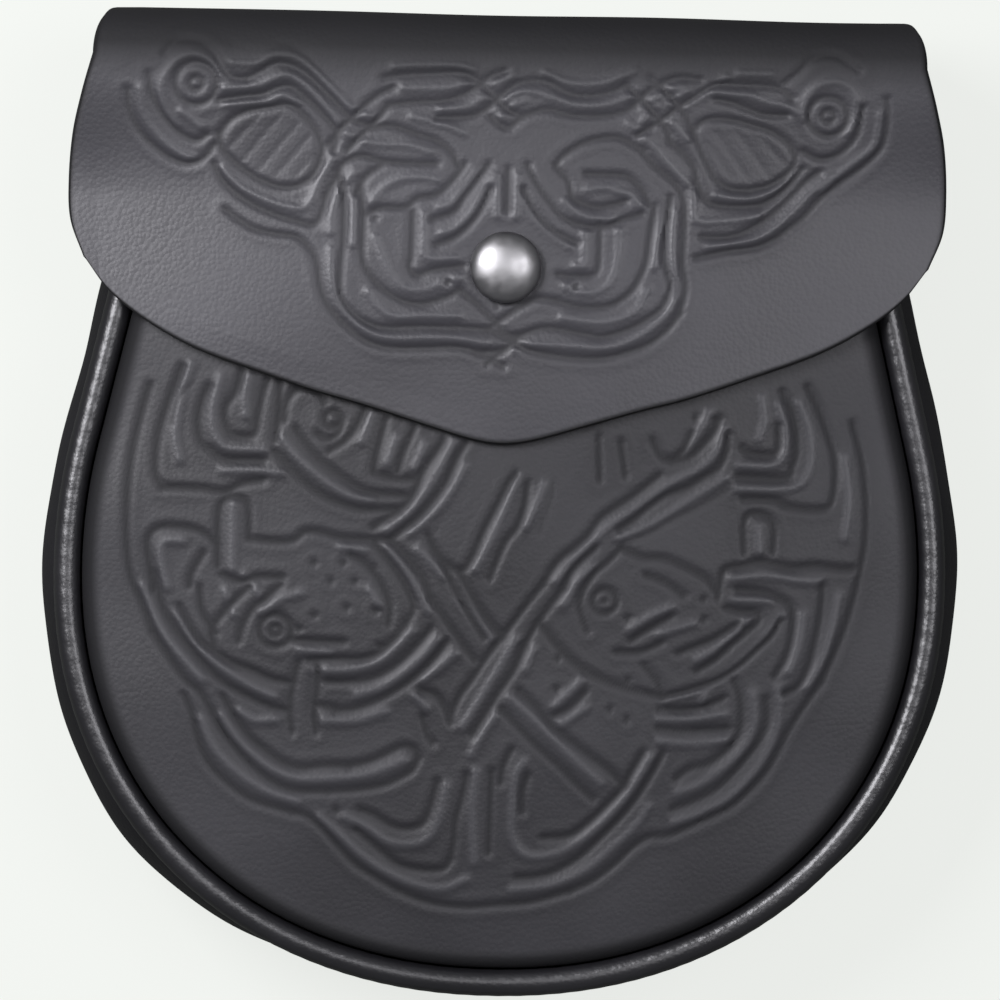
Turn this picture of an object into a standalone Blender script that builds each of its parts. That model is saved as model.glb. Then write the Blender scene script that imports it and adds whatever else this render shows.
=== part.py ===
"""Models a day sporran: a pear-shaped leather pouch that lies on its back with its flap snapped shut.

Each leather piece, piping and snap part is an object of its own. X runs across the pouch, Y up it towards the
fold of the flap, and Z out of its front. The pouch lies on the plane Z = 0, on its two belt loops and on the
lowest stretch of its rear piping. Heights along the pouch are measured from its widest line, and one empty
carries every piece from there to the middle of the object's box. All sizes are in metres.
"""

import math
from collections import namedtuple

import bmesh
import bpy
from mathutils import Vector

# Leather, piping and the clearance that every two pieces keep
LEATHER = 0.0022
PIPING_RADIUS = 0.0028
GAP = 0.0003

# Outline of the pouch along its seams, the same for the front and the back
SEAM_HALF_WIDTH = 0.0902
SIDE_LEAN = 0.235
BELLY_BEND = 0.0272
BOTTOM_DEPTH = 0.0852
BOTTOM_POWER = 2.12
FRONT_TOP = 0.098
BACK_RISE = 0.008
BACK_TOP = FRONT_TOP + BACK_RISE
FRONT_SEAM_Z = 0.036

# Gusset, measured from the seam to its outer face: past the piping at the sides, behind it at the bottom
SIDE_BULGE = 0.0048
BOTTOM_BULGE = 0.0027
GUSSET_EDGE_EASE = 0.0007

# Front panel: a rounded shoulder along the seam, then a low crown
SHOULDER_WIDTH = 0.0024
SHOULDER_DIP = 0.0006
SHOULDER_RISE = 0.0026
CROWN_RISE = 0.0036

# Flap: hem on the back, fold over the top, tongue down the front
FOLD_RISE = 0.0106
FLAP_TOP = BACK_TOP + FOLD_RISE
FLAP_TIP = 0.0261
FLAP_HALF_WIDTH = 0.0914
FLAP_DROOP_RUN = 0.030
FLAP_SIDE_GAP = 0.0014
FLAP_TIP_GAP = 0.0010
FRONT_FOLD_RADIUS = 0.010
REAR_FOLD_RADIUS = 0.009
HEM_LENGTH = 0.014
HEM_INSET = 0.0015

# Snap: a domed cap and socket on the flap, a post on the front panel
STUD_HEIGHT_ON_FRONT = 0.0637
SNAP_STACK = 0.0030
CAP_RADIUS = 0.0074
CAP_RISE = 0.0040
CAP_RIM = 0.0007
SHANK_RADIUS = 0.0022
SOCKET_RADIUS = 0.0060
SOCKET_WALL = 0.0020
SOCKET_FLANGE = 0.0008
POST_FLANGE_RADIUS = 0.0055
POST_FLANGE = 0.0009
POST_KNOB_RADIUS = 0.0031

# Belt loops on the back
LOOP_OFFSET = 0.042
LOOP_WIDTH = 0.022
LOOP_LEATHER = 0.0020
LOOP_FOOT = 0.008
LOOP_CROWN = 0.030
LOOP_RAMP = 0.005
STRAP_GAP = 0.0048

# Facets
PANEL_CELLS = 20
SEAM_STATIONS = 3 * PANEL_CELLS
FLAP_COLUMNS = 20
TURNED_STEPS = 24
OUTLINE_SAMPLES = 240

GussetRow = namedtuple("GussetRow", "depth bulge")
GUSSET_ROWS = (
    GussetRow(0.00, 0.00),
    GussetRow(0.14, 0.62),
    GussetRow(0.32, 0.94),
    GussetRow(0.50, 1.00),
    GussetRow(0.68, 0.94),
    GussetRow(0.86, 0.62),
    GussetRow(1.00, 0.00),
)

# From the seam inwards, as shares of the shoulder's width and of its dip and rise
ShoulderRing = namedtuple("ShoulderRing", "inset rise")
SHOULDER_RINGS = (
    ShoulderRing(0.00, 0.00),
    ShoulderRing(0.22, 0.62),
    ShoulderRing(1.00, 1.00),
)

# Flap outline below the fold, as shares of its half width and of its drop to the tip
SideRow = namedtuple("SideRow", "drop width")
FLAP_SIDE = (
    SideRow(0.000, 0.947),
    SideRow(0.105, 0.972),
    SideRow(0.210, 0.992),
    SideRow(0.330, 1.000),
    SideRow(0.430, 0.994),
    SideRow(0.525, 0.962),
)
EdgeRow = namedtuple("EdgeRow", "width drop")
FLAP_EDGE = (
    EdgeRow(0.000, 1.000),
    EdgeRow(0.070, 0.985),
    EdgeRow(0.185, 0.944),
    EdgeRow(0.315, 0.898),
    EdgeRow(0.435, 0.861),
    EdgeRow(0.560, 0.815),
    EdgeRow(0.705, 0.757),
    EdgeRow(0.820, 0.686),
    EdgeRow(0.905, 0.610),
    EdgeRow(0.962, 0.525),
)
# Half width of the flap behind its front fold, as shares from the hem's to the tongue's
REAR_FOLD_START = 0.25
REAR_FOLD_END = 0.68
FRONT_FOLD_START = 0.82
FLAP_FRONT_ROWS = 11
FOLD_STEPS = 5
TOP_ROWS = 2

BLACK_LEATHER = (0.020, 0.020, 0.022)
SUEDE_BLACK = (0.016, 0.015, 0.015)
NICKEL = (0.62, 0.61, 0.60)


def between(a, b, share):
    return a + (b - a) * share


def smooth_read(rows, at):
    """Reads a two-column table at a value of its first column, on a Catmull-Rom curve through the rows."""
    last = len(rows) - 1
    low = next((i for i in range(last) if at <= rows[i + 1][0]), last - 1)
    before, start, end, after = (rows[min(max(low + k, 0), last)] for k in (-1, 0, 1, 2))
    span = end[0] - start[0]
    share = (at - start[0]) / span
    slope_in = (end[1] - before[1]) / (end[0] - before[0]) * span
    slope_out = (after[1] - start[1]) / (after[0] - start[0]) * span
    square, cube = share**2, share**3
    return (
        (2 * cube - 3 * square + 1) * start[1]
        + (cube - 2 * square + share) * slope_in
        + (3 * square - 2 * cube) * end[1]
        + (cube - square) * slope_out
    )


def seam_half_width(height):
    """Half width of the seam at a height above the widest line."""
    if height < BELLY_BEND:
        return SEAM_HALF_WIDTH - SIDE_LEAN * height**2 / (2 * BELLY_BEND)
    return SEAM_HALF_WIDTH - SIDE_LEAN * (height - BELLY_BEND / 2)


def right_seam(top):
    """Close points up the right half of the seam, from the bottom's middle to the given height."""
    points = []
    for i in range(OUTLINE_SAMPLES + 1):
        turn = math.pi / 2 * i / OUTLINE_SAMPLES
        across = SEAM_HALF_WIDTH * math.sin(turn) ** (2 / BOTTOM_POWER)
        down = BOTTOM_DEPTH * max(math.cos(turn), 0.0) ** (2 / BOTTOM_POWER)
        points.append(Vector((across, -down)))
    for i in range(1, OUTLINE_SAMPLES + 1):
        height = top * i / OUTLINE_SAMPLES
        points.append(Vector((seam_half_width(height), height)))
    return points


def evenly_spaced(points, count):
    """The line through the points, cut into that many stretches of one length."""
    travelled = [0.0]
    for a, b in zip(points, points[1:]):
        travelled.append(travelled[-1] + (b - a).length)
    spaced = []
    k = 0
    for i in range(count + 1):
        goal = travelled[-1] * i / count
        while k < len(points) - 2 and travelled[k + 1] < goal:
            k += 1
        share = (goal - travelled[k]) / (travelled[k + 1] - travelled[k])
        spaced.append(points[k].lerp(points[k + 1], min(share, 1.0)))
    return spaced


def seam_line(top):
    """(place, outward direction) at each station, from the top right round the bottom to the top left."""
    right = evenly_spaced(right_seam(top), SEAM_STATIONS // 2)
    left = [Vector((-p.x, p.y)) for p in right]
    places = list(reversed(right)) + left[1:]
    stations = []
    for i, place in enumerate(places):
        along = places[min(i + 1, SEAM_STATIONS)] - places[max(i - 1, 0)]
        stations.append((place, Vector((-along.y, along.x)).normalized()))
    return stations


def panel_outline(inset, top):
    """Closed outline, clockwise from the top left, at an inset from the seam and from the top edge."""
    sides = []
    for place, outward in seam_line(top):
        moved = place - outward * inset
        sides.append(Vector((moved.x, min(moved.y, top - inset))))
    left, right = sides[-1], sides[0]
    sides[0] = Vector((right.x, top - inset))
    sides[-1] = Vector((left.x, top - inset))
    edge = [sides[-1].lerp(sides[0], i / PANEL_CELLS) for i in range(1, PANEL_CELLS)]
    return [sides[-1]] + edge + sides[:-1]


def square_ring(u, v):
    """(ring, turn) of a point of the square from -1 to 1: how far out it is, and its share of the way round."""
    ring = max(abs(u), abs(v))
    if ring == 0.0:
        return 0.0, 0.0
    u, v = u / ring, v / ring
    quarter = 0.25
    if v > 1.0 - 1e-6:
        return ring, quarter * (u + 1) / 2
    if u > 1.0 - 1e-6:
        return ring, quarter + quarter * (1 - v) / 2
    if v < -1.0 + 1e-6:
        return ring, 2 * quarter + quarter * (1 - u) / 2
    return ring, (3 * quarter + quarter * (v + 1) / 2) % 1.0


def crown_height(share):
    """Height of the front panel's face over the seam, at a share of the way from its middle to the shoulder."""
    return SHOULDER_RISE + CROWN_RISE * (1 - share**2)


def front_face_height(height):
    """Height of the front panel's face on the centre line, above the widest line."""
    shoulder_top = FRONT_TOP - PIPING_RADIUS - GAP - SHOULDER_WIDTH
    return FRONT_SEAM_Z + crown_height(height / shoulder_top)


def loop_crown_low():
    """Lower end of the belt loops' flat stretch."""
    return hem_low() - LOOP_FOOT - LOOP_RAMP - LOOP_CROWN - 2 * GAP


def hem_low():
    return BACK_TOP - GAP - HEM_LENGTH


def back_slope():
    """Rise of the back panel for each metre up the pouch, which leaves room for the loops under its upper half."""
    low = PIPING_RADIUS - LEATHER / 2
    high = LOOP_LEATHER + STRAP_GAP
    return (high - low) / (loop_crown_low() + BOTTOM_DEPTH)


def back_face(height):
    """Z of the back panel's outer face."""
    return PIPING_RADIUS - LEATHER / 2 + back_slope() * (height + BOTTOM_DEPTH)


def rear_seam_z(height):
    return back_face(height) + LEATHER / 2


def new_object(name, mesh, finish, parent):
    thing = bpy.data.objects.new(name, mesh)
    mesh.materials.append(finish)
    bpy.data.collections["sporran"].objects.link(thing)
    thing.parent = parent
    return thing


def grid_sheet(columns, rows, place):
    """Mesh of a grid whose vertices are placed by a function of their shares across and along it."""
    shape = bmesh.new()
    bmesh.ops.create_grid(shape, x_segments=columns, y_segments=rows, size=1.0)
    for vert in shape.verts:
        vert.co = place(vert.co.x, vert.co.y)
    mesh = bpy.data.meshes.new("sheet")
    shape.to_mesh(mesh)
    shape.free()
    return mesh


def thicken(thing, depth):
    """Gives an open sheet its leather's thickness, behind the side that its faces point to."""
    wall = thing.modifiers.new("Leather", "SOLIDIFY")
    wall.thickness = depth
    wall.offset = -1.0
    wall.use_even_offset = True


def shade_round(thing):
    thing.data.shade_smooth()
    thing.data.set_sharp_from_angle(angle=math.radians(40))


def cut_hole(thing, radius, low, high, place):
    """Cuts a round upright hole through a piece of leather."""
    shape = bmesh.new()
    bmesh.ops.create_cone(
        shape, cap_ends=True, segments=TURNED_STEPS, radius1=radius, radius2=radius, depth=high - low
    )
    mesh = bpy.data.meshes.new("cutter")
    shape.to_mesh(mesh)
    shape.free()
    cutter = bpy.data.objects.new(thing.name + "_cutter", mesh)
    bpy.data.collections["cutters"].objects.link(cutter)
    cutter.parent = thing.parent
    cutter.location = (place[0], place[1], (low + high) / 2)
    cutter.hide_render = True
    cutter.display_type = "WIRE"
    hole = thing.modifiers.new("Hole", "BOOLEAN")
    hole.operation = "DIFFERENCE"
    hole.object = cutter


def make_back_panel(finish, parent):
    outline = panel_outline(PIPING_RADIUS + GAP, BACK_TOP)
    shape = bmesh.new()
    ring = [shape.verts.new((p.x, p.y, back_face(p.y) + LEATHER)) for p in outline]
    shape.faces.new(reversed(ring))
    mesh = bpy.data.meshes.new("back_panel")
    shape.to_mesh(mesh)
    shape.free()
    panel = new_object("back_panel", mesh, finish, parent)
    thicken(panel, LEATHER)
    return panel


def make_front_panel(finish, parent):
    """Rings of the seam's outline, scaled towards the widest line's middle, with a hole for the snap's post."""
    seam_inset = PIPING_RADIUS + GAP
    outlines = [panel_outline(seam_inset + SHOULDER_WIDTH * row.inset, FRONT_TOP) for row in SHOULDER_RINGS]
    heights = [between(-SHOULDER_DIP, SHOULDER_RISE, row.rise) for row in SHOULDER_RINGS]
    half = PANEL_CELLS // 2
    crown_rings = half - (len(SHOULDER_RINGS) - 1)

    def place(u, v):
        ring, turn = square_ring(u, v)
        step = round(ring * half)
        station = round(turn * 4 * PANEL_CELLS) % (4 * PANEL_CELLS)
        if step > crown_rings:
            k = half - step
            spot = outlines[k][station]
            return Vector((spot.x, spot.y, FRONT_SEAM_Z + heights[k]))
        share = step / crown_rings
        spot = outlines[-1][station] * share
        return Vector((spot.x, spot.y, FRONT_SEAM_Z + crown_height(share)))

    panel = new_object("front_panel", grid_sheet(PANEL_CELLS, PANEL_CELLS, place), finish, parent)
    thicken(panel, LEATHER)
    face = front_face_height(STUD_HEIGHT_ON_FRONT)
    cut_hole(
        panel, SHANK_RADIUS + GAP, face - 2 * LEATHER, face + LEATHER, (0.0, STUD_HEIGHT_ON_FRONT)
    )
    return panel


def make_gusset(finish, parent):
    """The strip between the pipings, round both sides and the bottom."""
    line = seam_line(FRONT_TOP)
    rows = len(GUSSET_ROWS) - 1

    def place(u, v):
        station = round((u + 1) / 2 * SEAM_STATIONS)
        row = GUSSET_ROWS[round((1 - v) / 2 * rows)]
        spot, outward = line[station]
        bulge = between(BOTTOM_BULGE, SIDE_BULGE, outward.x**2) - LEATHER / 2
        moved = spot + outward * (bulge * row.bulge)
        clear = PIPING_RADIUS + GAP + GUSSET_EDGE_EASE
        front = FRONT_SEAM_Z - clear
        rear = rear_seam_z(spot.y) + clear
        return Vector((moved.x, moved.y, between(front, rear, row.depth)))

    gusset = new_object("gusset", grid_sheet(SEAM_STATIONS, rows, place), finish, parent)
    thicken(gusset, LEATHER)
    gusset.modifiers["Leather"].offset = 0.0
    shade_round(gusset)
    return gusset


def make_piping(name, height_of, finish, parent):
    """A welt of leather over cord, along the seam."""
    curve = bpy.data.curves.new(name, "CURVE")
    curve.dimensions = "3D"
    curve.bevel_depth = PIPING_RADIUS
    curve.bevel_resolution = 2
    curve.use_fill_caps = True
    spline = curve.splines.new("POLY")
    spline.points.add(SEAM_STATIONS)
    for point, (place, _) in zip(spline.points, seam_line(FRONT_TOP)):
        point.co = (place.x, place.y, height_of(place.y), 1.0)
    return new_object(name, curve, finish, parent)


FlapRow = namedtuple("FlapRow", "kind height z half_width")


def flap_face(drop):
    """Z of the flap's outer face on the centre line, at a share of its drop from the fold to the tip."""
    at_stud = front_face_height(STUD_HEIGHT_ON_FRONT) + SNAP_STACK + LEATHER
    at_tip = front_face_height(FLAP_TIP) + FLAP_TIP_GAP + LEATHER
    stud_drop = (fold_end() - STUD_HEIGHT_ON_FRONT) / flap_drop()
    beyond = max(drop - stud_drop, 0.0) / (1 - stud_drop)
    return between(at_stud, at_tip, beyond**2)


def fold_end():
    """Height at which the front fold ends and the tongue begins."""
    return FLAP_TOP - FRONT_FOLD_RADIUS


def flap_drop():
    return fold_end() - FLAP_TIP


def flap_rows():
    """The flap's rows behind its tongue, from the hem's free edge round the top to the end of the front fold."""
    hem_half = seam_half_width(FRONT_TOP) - PIPING_RADIUS - GAP - HEM_INSET
    fold_half = FLAP_HALF_WIDTH * FLAP_SIDE[0].width
    rear = FLAP_TOP - REAR_FOLD_RADIUS
    rows = []
    for height in (hem_low(), FRONT_TOP + GAP):
        rows.append(FlapRow("hem", height, back_face(height) - GAP - LEATHER, hem_half))
    rear_z = back_face(rear) - GAP - LEATHER
    for i in range(FOLD_STEPS):
        turn = math.pi / 2 * i / FOLD_STEPS
        height = rear + REAR_FOLD_RADIUS * math.sin(turn)
        z = rear_z + REAR_FOLD_RADIUS * (1 - math.cos(turn))
        widening = between(REAR_FOLD_START, REAR_FOLD_END, i / FOLD_STEPS)
        rows.append(FlapRow("rear fold", height, z, between(hem_half, fold_half, widening)))
    top_start, top_end = rear_z + REAR_FOLD_RADIUS, flap_face(0.0) - FRONT_FOLD_RADIUS
    for i in range(TOP_ROWS):
        share = i / TOP_ROWS
        widening = between(REAR_FOLD_END, FRONT_FOLD_START, share)
        z = between(top_start, top_end, share)
        rows.append(FlapRow("top", FLAP_TOP, z, between(hem_half, fold_half, widening)))
    for i in range(FOLD_STEPS):
        turn = math.pi / 2 * i / FOLD_STEPS
        height = FLAP_TOP - FRONT_FOLD_RADIUS * (1 - math.cos(turn))
        z = top_end + FRONT_FOLD_RADIUS * math.sin(turn)
        widening = between(FRONT_FOLD_START, 1.0, math.sin(turn))
        rows.append(FlapRow("front fold", height, z, between(hem_half, fold_half, widening)))
    return rows


def flap_droop(across, height, face):
    """How far the tongue falls back beside its middle, until it lies just over the piping."""
    below = min(max((fold_end() - height) / FLAP_DROOP_RUN, 0.0), 1.0)
    eased = below * below * (3 - 2 * below)
    at_seam = face - LEATHER - FRONT_SEAM_Z - PIPING_RADIUS - FLAP_SIDE_GAP
    return at_seam * eased * (across / seam_half_width(height)) ** 2


def make_flap(finish, parent):
    behind = flap_rows()
    count = len(behind) + FLAP_FRONT_ROWS

    def place(u, v):
        k = round((1 - v) / 2 * count)
        if k < len(behind):
            row = behind[k]
            return Vector((-u * row.half_width, row.height, row.z))
        share = (k - len(behind)) / FLAP_FRONT_ROWS
        corner = FLAP_SIDE[-1].drop
        across = u * FLAP_HALF_WIDTH * smooth_read(FLAP_SIDE, share * corner)
        drop = share * smooth_read(FLAP_EDGE, abs(u) * FLAP_EDGE[-1].width)
        height = fold_end() - flap_drop() * drop
        face = flap_face(drop)
        return Vector((-across, height, face - flap_droop(across, height, face)))

    flap = new_object("flap", grid_sheet(FLAP_COLUMNS, count, place), finish, parent)
    flap.data.flip_normals()
    thicken(flap, LEATHER)
    face = front_face_height(STUD_HEIGHT_ON_FRONT) + SNAP_STACK
    cut_hole(flap, SHANK_RADIUS + GAP, face - LEATHER, face + 2 * LEATHER, (0.0, STUD_HEIGHT_ON_FRONT))
    return flap


def make_turned(name, profile, finish, parent, z):
    """A piece turned on the snap's axis, from its profile of (radius, height) from top to bottom."""
    shape = bmesh.new()
    verts = [shape.verts.new((radius, 0.0, height)) for radius, height in profile]
    for a, b in zip(verts, verts[1:]):
        shape.edges.new((a, b))
    mesh = bpy.data.meshes.new(name)
    shape.to_mesh(mesh)
    shape.free()
    thing = new_object(name, mesh, finish, parent)
    thing.location = (0.0, STUD_HEIGHT_ON_FRONT, z)
    turn = thing.modifiers.new("Turn", "SCREW")
    turn.steps = TURNED_STEPS
    turn.render_steps = TURNED_STEPS
    turn.use_merge_vertices = True
    turn.merge_threshold = 0.00005
    return thing


def make_stud_cap(finish, parent):
    """Domed cap on the flap's face, its shank through the leather, and the snap's socket behind it."""
    outer_face = front_face_height(STUD_HEIGHT_ON_FRONT) + SNAP_STACK + LEATHER
    dome = []
    steps = 6
    for i in range(steps + 1):
        turn = math.pi / 2 * i / steps
        dome.append((CAP_RADIUS * math.sin(turn), CAP_RIM + (CAP_RISE - CAP_RIM) * math.cos(turn)))
    behind = -GAP - LEATHER - GAP
    flange = behind - SOCKET_FLANGE
    mouth = GAP - LEATHER - SNAP_STACK
    bore = POST_KNOB_RADIUS + GAP
    profile = dome + [
        (CAP_RADIUS, 0.0),
        (SHANK_RADIUS, 0.0),
        (SHANK_RADIUS, behind),
        (SOCKET_RADIUS, behind),
        (SOCKET_RADIUS, flange),
        (bore + SOCKET_WALL, flange),
        (bore + SOCKET_WALL, mouth),
        (bore, mouth),
        (bore, flange),
        (0.0, flange),
    ]
    return make_turned("stud_cap", profile, finish, parent, outer_face + GAP)


def make_snap_post(finish, parent):
    """Post riveted through the front panel, with its knob inside the socket."""
    face = front_face_height(STUD_HEIGHT_ON_FRONT)
    knob_top = SNAP_STACK - GAP - SOCKET_FLANGE - GAP
    inside = -LEATHER - 2 * GAP
    profile = [
        (0.0, knob_top),
        (POST_KNOB_RADIUS * 0.7, knob_top),
        (POST_KNOB_RADIUS, knob_top * 0.6),
        (POST_KNOB_RADIUS * 0.85, GAP),
        (SHANK_RADIUS, 0.0),
        (SHANK_RADIUS, inside),
        (POST_FLANGE_RADIUS, inside),
        (POST_FLANGE_RADIUS, inside - POST_FLANGE),
        (0.0, inside - POST_FLANGE),
    ]
    return make_turned("snap_post", profile, finish, parent, face)


def make_belt_loop(name, side, finish, parent):
    """A strip stitched to the back at both ends, which lies on the plane Z = 0 and leaves room for a strap."""
    crown_low = loop_crown_low()
    crown_high = crown_low + LOOP_CROWN
    foot_low = crown_low - LOOP_RAMP
    foot_high = crown_high + LOOP_RAMP
    seat = GAP + LOOP_LEATHER
    ease = LOOP_RAMP * 0.3
    line = [
        (foot_low - LOOP_FOOT, back_face(foot_low - LOOP_FOOT) - seat),
        (foot_low, back_face(foot_low) - seat),
        (foot_low + ease, back_face(foot_low + ease) - seat * 1.3),
        (crown_low - ease, LOOP_LEATHER * 0.4),
        (crown_low, 0.0),
        (crown_high, 0.0),
        (crown_high + ease, LOOP_LEATHER * 0.4),
        (foot_high - ease, back_face(foot_high - ease) - seat * 1.3),
        (foot_high, back_face(foot_high) - seat),
        (foot_high + LOOP_FOOT, back_face(foot_high + LOOP_FOOT) - seat),
    ]

    def place(u, v):
        height, z = line[round((v + 1) / 2 * (len(line) - 1))]
        return Vector((side * LOOP_OFFSET + u * LOOP_WIDTH / 2, height, z))

    loop = new_object(name, grid_sheet(1, len(line) - 1, place), finish, parent)
    loop.data.flip_normals()
    thicken(loop, LOOP_LEATHER)
    return loop


def make_finish(name, colour, roughness, metallic):
    finish = bpy.data.materials.new(name)
    finish.use_nodes = True
    shader = finish.node_tree.nodes["Principled BSDF"]
    shader.inputs["Base Color"].default_value = (*colour, 1.0)
    shader.inputs["Roughness"].default_value = roughness
    shader.inputs["Metallic"].default_value = metallic
    return finish


def start_scene():
    """Clears the scene, and returns the empty that carries the pouch."""
    for thing in list(bpy.data.objects):
        bpy.data.objects.remove(thing)
    for name in ("sporran", "cutters"):
        bpy.context.scene.collection.children.link(bpy.data.collections.new(name))
    carrier = bpy.data.objects.new("pouch_frame", None)
    bpy.data.collections["sporran"].objects.link(carrier)
    lowest = BOTTOM_DEPTH + PIPING_RADIUS
    carrier.location = (0.0, (lowest - FLAP_TOP) / 2, 0.0)
    return carrier


def main():
    carrier = start_scene()
    make_back_panel(make_finish("back leather", BLACK_LEATHER, 0.62, 0.0), carrier)
    make_front_panel(make_finish("front leather", BLACK_LEATHER, 0.48, 0.0), carrier)
    make_gusset(make_finish("gusset leather", BLACK_LEATHER, 0.58, 0.0), carrier)
    piping_leather = make_finish("piping leather", BLACK_LEATHER, 0.42, 0.0)
    make_piping("front_piping", lambda height: FRONT_SEAM_Z, piping_leather, carrier)
    make_piping("rear_piping", rear_seam_z, piping_leather, carrier)
    make_flap(make_finish("flap leather", BLACK_LEATHER, 0.46, 0.0), carrier)
    make_stud_cap(make_finish("nickel cap", NICKEL, 0.16, 1.0), carrier)
    make_snap_post(make_finish("nickel post", NICKEL, 0.30, 1.0), carrier)
    loop_leather = make_finish("loop leather", SUEDE_BLACK, 0.66, 0.0)
    make_belt_loop("belt_loop_left", -1, loop_leather, carrier)
    make_belt_loop("belt_loop_right", 1, loop_leather, carrier)


main()
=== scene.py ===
"""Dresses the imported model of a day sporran: a pear-shaped leather pouch lying on its back, flap snapped
shut.

The leather pieces are made again on finer grids, from the same measured outlines as the model, and their
fronts carry the tooled interlace. X runs across the pouch, Y up it and Z out of its front. Outlines and
tooling are measured from the middle of the pouch's widest line, which lies PIVOT_Y from the middle of the
model's box. Sizes are in metres, and the tooled lines are in millimetres.
"""

import math

import bmesh
import bpy
import numpy as np
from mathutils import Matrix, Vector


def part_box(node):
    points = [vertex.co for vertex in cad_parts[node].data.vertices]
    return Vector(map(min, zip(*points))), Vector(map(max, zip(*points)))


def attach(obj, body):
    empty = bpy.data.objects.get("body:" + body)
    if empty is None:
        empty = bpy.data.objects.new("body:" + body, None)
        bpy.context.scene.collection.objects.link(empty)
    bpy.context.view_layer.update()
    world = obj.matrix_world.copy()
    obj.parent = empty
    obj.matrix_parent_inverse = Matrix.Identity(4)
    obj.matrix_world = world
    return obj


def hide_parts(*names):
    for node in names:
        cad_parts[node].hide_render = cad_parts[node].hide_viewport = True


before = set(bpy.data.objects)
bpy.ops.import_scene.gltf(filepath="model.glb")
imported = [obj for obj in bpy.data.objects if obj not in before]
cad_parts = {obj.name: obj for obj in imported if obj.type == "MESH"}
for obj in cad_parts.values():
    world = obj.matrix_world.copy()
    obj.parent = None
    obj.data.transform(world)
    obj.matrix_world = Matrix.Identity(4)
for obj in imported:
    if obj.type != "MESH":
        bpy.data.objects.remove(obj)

bl_info = {
    "name": "Day Sporran",
    "version": (1, 0, 0),
    "blender": (4, 5, 0),
    "location": "3D Viewport > Sidebar > Sporran",
    "description": "Tooled leather pouch, flap, piping, gusset, belt loops, stitching and snap of a sporran",
    "category": "Add Mesh",
}

# Leather, piping and the clearance between pieces
LEATHER = 0.0022
PIPING_RADIUS = 0.0028
GAP = 0.0003

# Outline along the seams
SEAM_HALF_WIDTH = 0.0902
SIDE_LEAN = 0.235
BELLY_BEND = 0.0272
BOTTOM_DEPTH = 0.0852
BOTTOM_POWER = 2.12
FRONT_TOP = 0.098
BACK_TOP = 0.106
FRONT_SEAM_Z = 0.036

# Gusset
SIDE_BULGE = 0.0048
BOTTOM_BULGE = 0.0027
GUSSET_TUCK = 0.0003
GUSSET_SLACK = 0.0003
GUSSET_PROFILE = (
    (0.0, 0.0), (0.14, 0.62), (0.32, 0.94), (0.5, 1.0), (0.68, 0.94), (0.86, 0.62), (1.0, 0.0),
)

# Shallow ripples of the gusset: their height, turns at each station, and slant from front to rear
RIPPLE_HEIGHT = 0.00035
RIPPLE_TURN = 0.21
RIPPLE_SWING = 0.083
RIPPLE_SLANT = 3

# Extra bulge of the worn gusset on either side, by height
LEFT_SLOUCH = (
    (-0.085, 0.0), (-0.076, 0.0011), (-0.062, 0.0024), (-0.045, 0.0025), (-0.020, 0.0015), (0.09, 0.0006),
)
RIGHT_SLOUCH = (
    (-0.075, -0.0002), (-0.060, 0.0004), (-0.045, 0.0010), (-0.020, 0.0010), (0.010, 0.0017), (0.09, 0.0006),
)

# Front panel
SHOULDER_WIDTH = 0.0024
SHOULDER_DIP = 0.0006
SHOULDER_RISE = 0.0026
CROWN_RISE = 0.0036
CROWN_SHARE = 0.955

# Flap
FLAP_TOP = 0.1166
FLAP_TIP = 0.0261
FLAP_HALF_WIDTH = 0.0914
FLAP_DROOP_RUN = 0.030
FLAP_SIDE_GAP = 0.0014
FLAP_TIP_GAP = 0.0010
FRONT_FOLD_RADIUS = 0.010
REAR_FOLD_RADIUS = 0.009
HEM_LENGTH = 0.014
HEM_INSET = 0.0015
FLAP_SIDE = ((0.0, 0.947), (0.105, 0.972), (0.21, 0.992), (0.33, 1.0), (0.43, 0.994), (0.525, 0.962))
FLAP_EDGE = (
    (0.0, 1.0),
    (0.07, 0.985),
    (0.185, 0.944),
    (0.315, 0.898),
    (0.435, 0.861),
    (0.56, 0.815),
    (0.705, 0.757),
    (0.82, 0.686),
    (0.905, 0.61),
    (0.962, 0.525),
)
FLAP_WIDENING = (0.25, 0.68, 0.82, 1.0)
TIP_ROUNDING = 0.055
RIGHT_EDGE_LIFT = 0.011
RIGHT_LIFT_START = 0.4
RIGHT_LIFT_RUN = 0.3

# Snap and belt loops
STUD_HEIGHT_ON_FRONT = 0.0637
SNAP_STACK = 0.0030
CAP_RADIUS = 0.0074
CAP_RISE = 0.0040
CAP_RIM = 0.0009
SHANK_RADIUS = 0.0022
SHANK_DEPTH = 0.0028
SOCKET_RADIUS = 0.0060
SOCKET_DEPTH = 0.0036
SOCKET_WALL_RADIUS = 0.0054
SOCKET_MOUTH_RADIUS = 0.0034
ROLLED_RIM = ((0.985, 0.0004), (0.93, 0.0))
LOOP_OFFSET = 0.042
LOOP_WIDTH = 0.022
LOOP_LEATHER = 0.0020
LOOP_FOOT = 0.008
LOOP_CROWN = 0.030
LOOP_RAMP = 0.005
LOOP_EASE = 0.3
LOOP_HEEL = 1.3
LOOP_BEND = 0.4
LOOP_CREASE_DEPTH = 0.00018
LOOP_CREASE_PLACE = 0.80
LOOP_CREASE_WIDTH = 0.05
STRAP_GAP = 0.0048

# Stitches: their rows on the hem and round the feet of the loops, and the share of the pitch that one fills
HEM_STITCH_INSET = 0.003
HEM_STITCH_ROWS = (0.003, 0.0095)
FOOT_STITCH_SIDE = 0.0025
FOOT_STITCH_LOW = 0.002
FOOT_STITCH_HIGH = 0.0015
STITCH_START = 0.12
STITCH_END = 0.88

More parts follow.
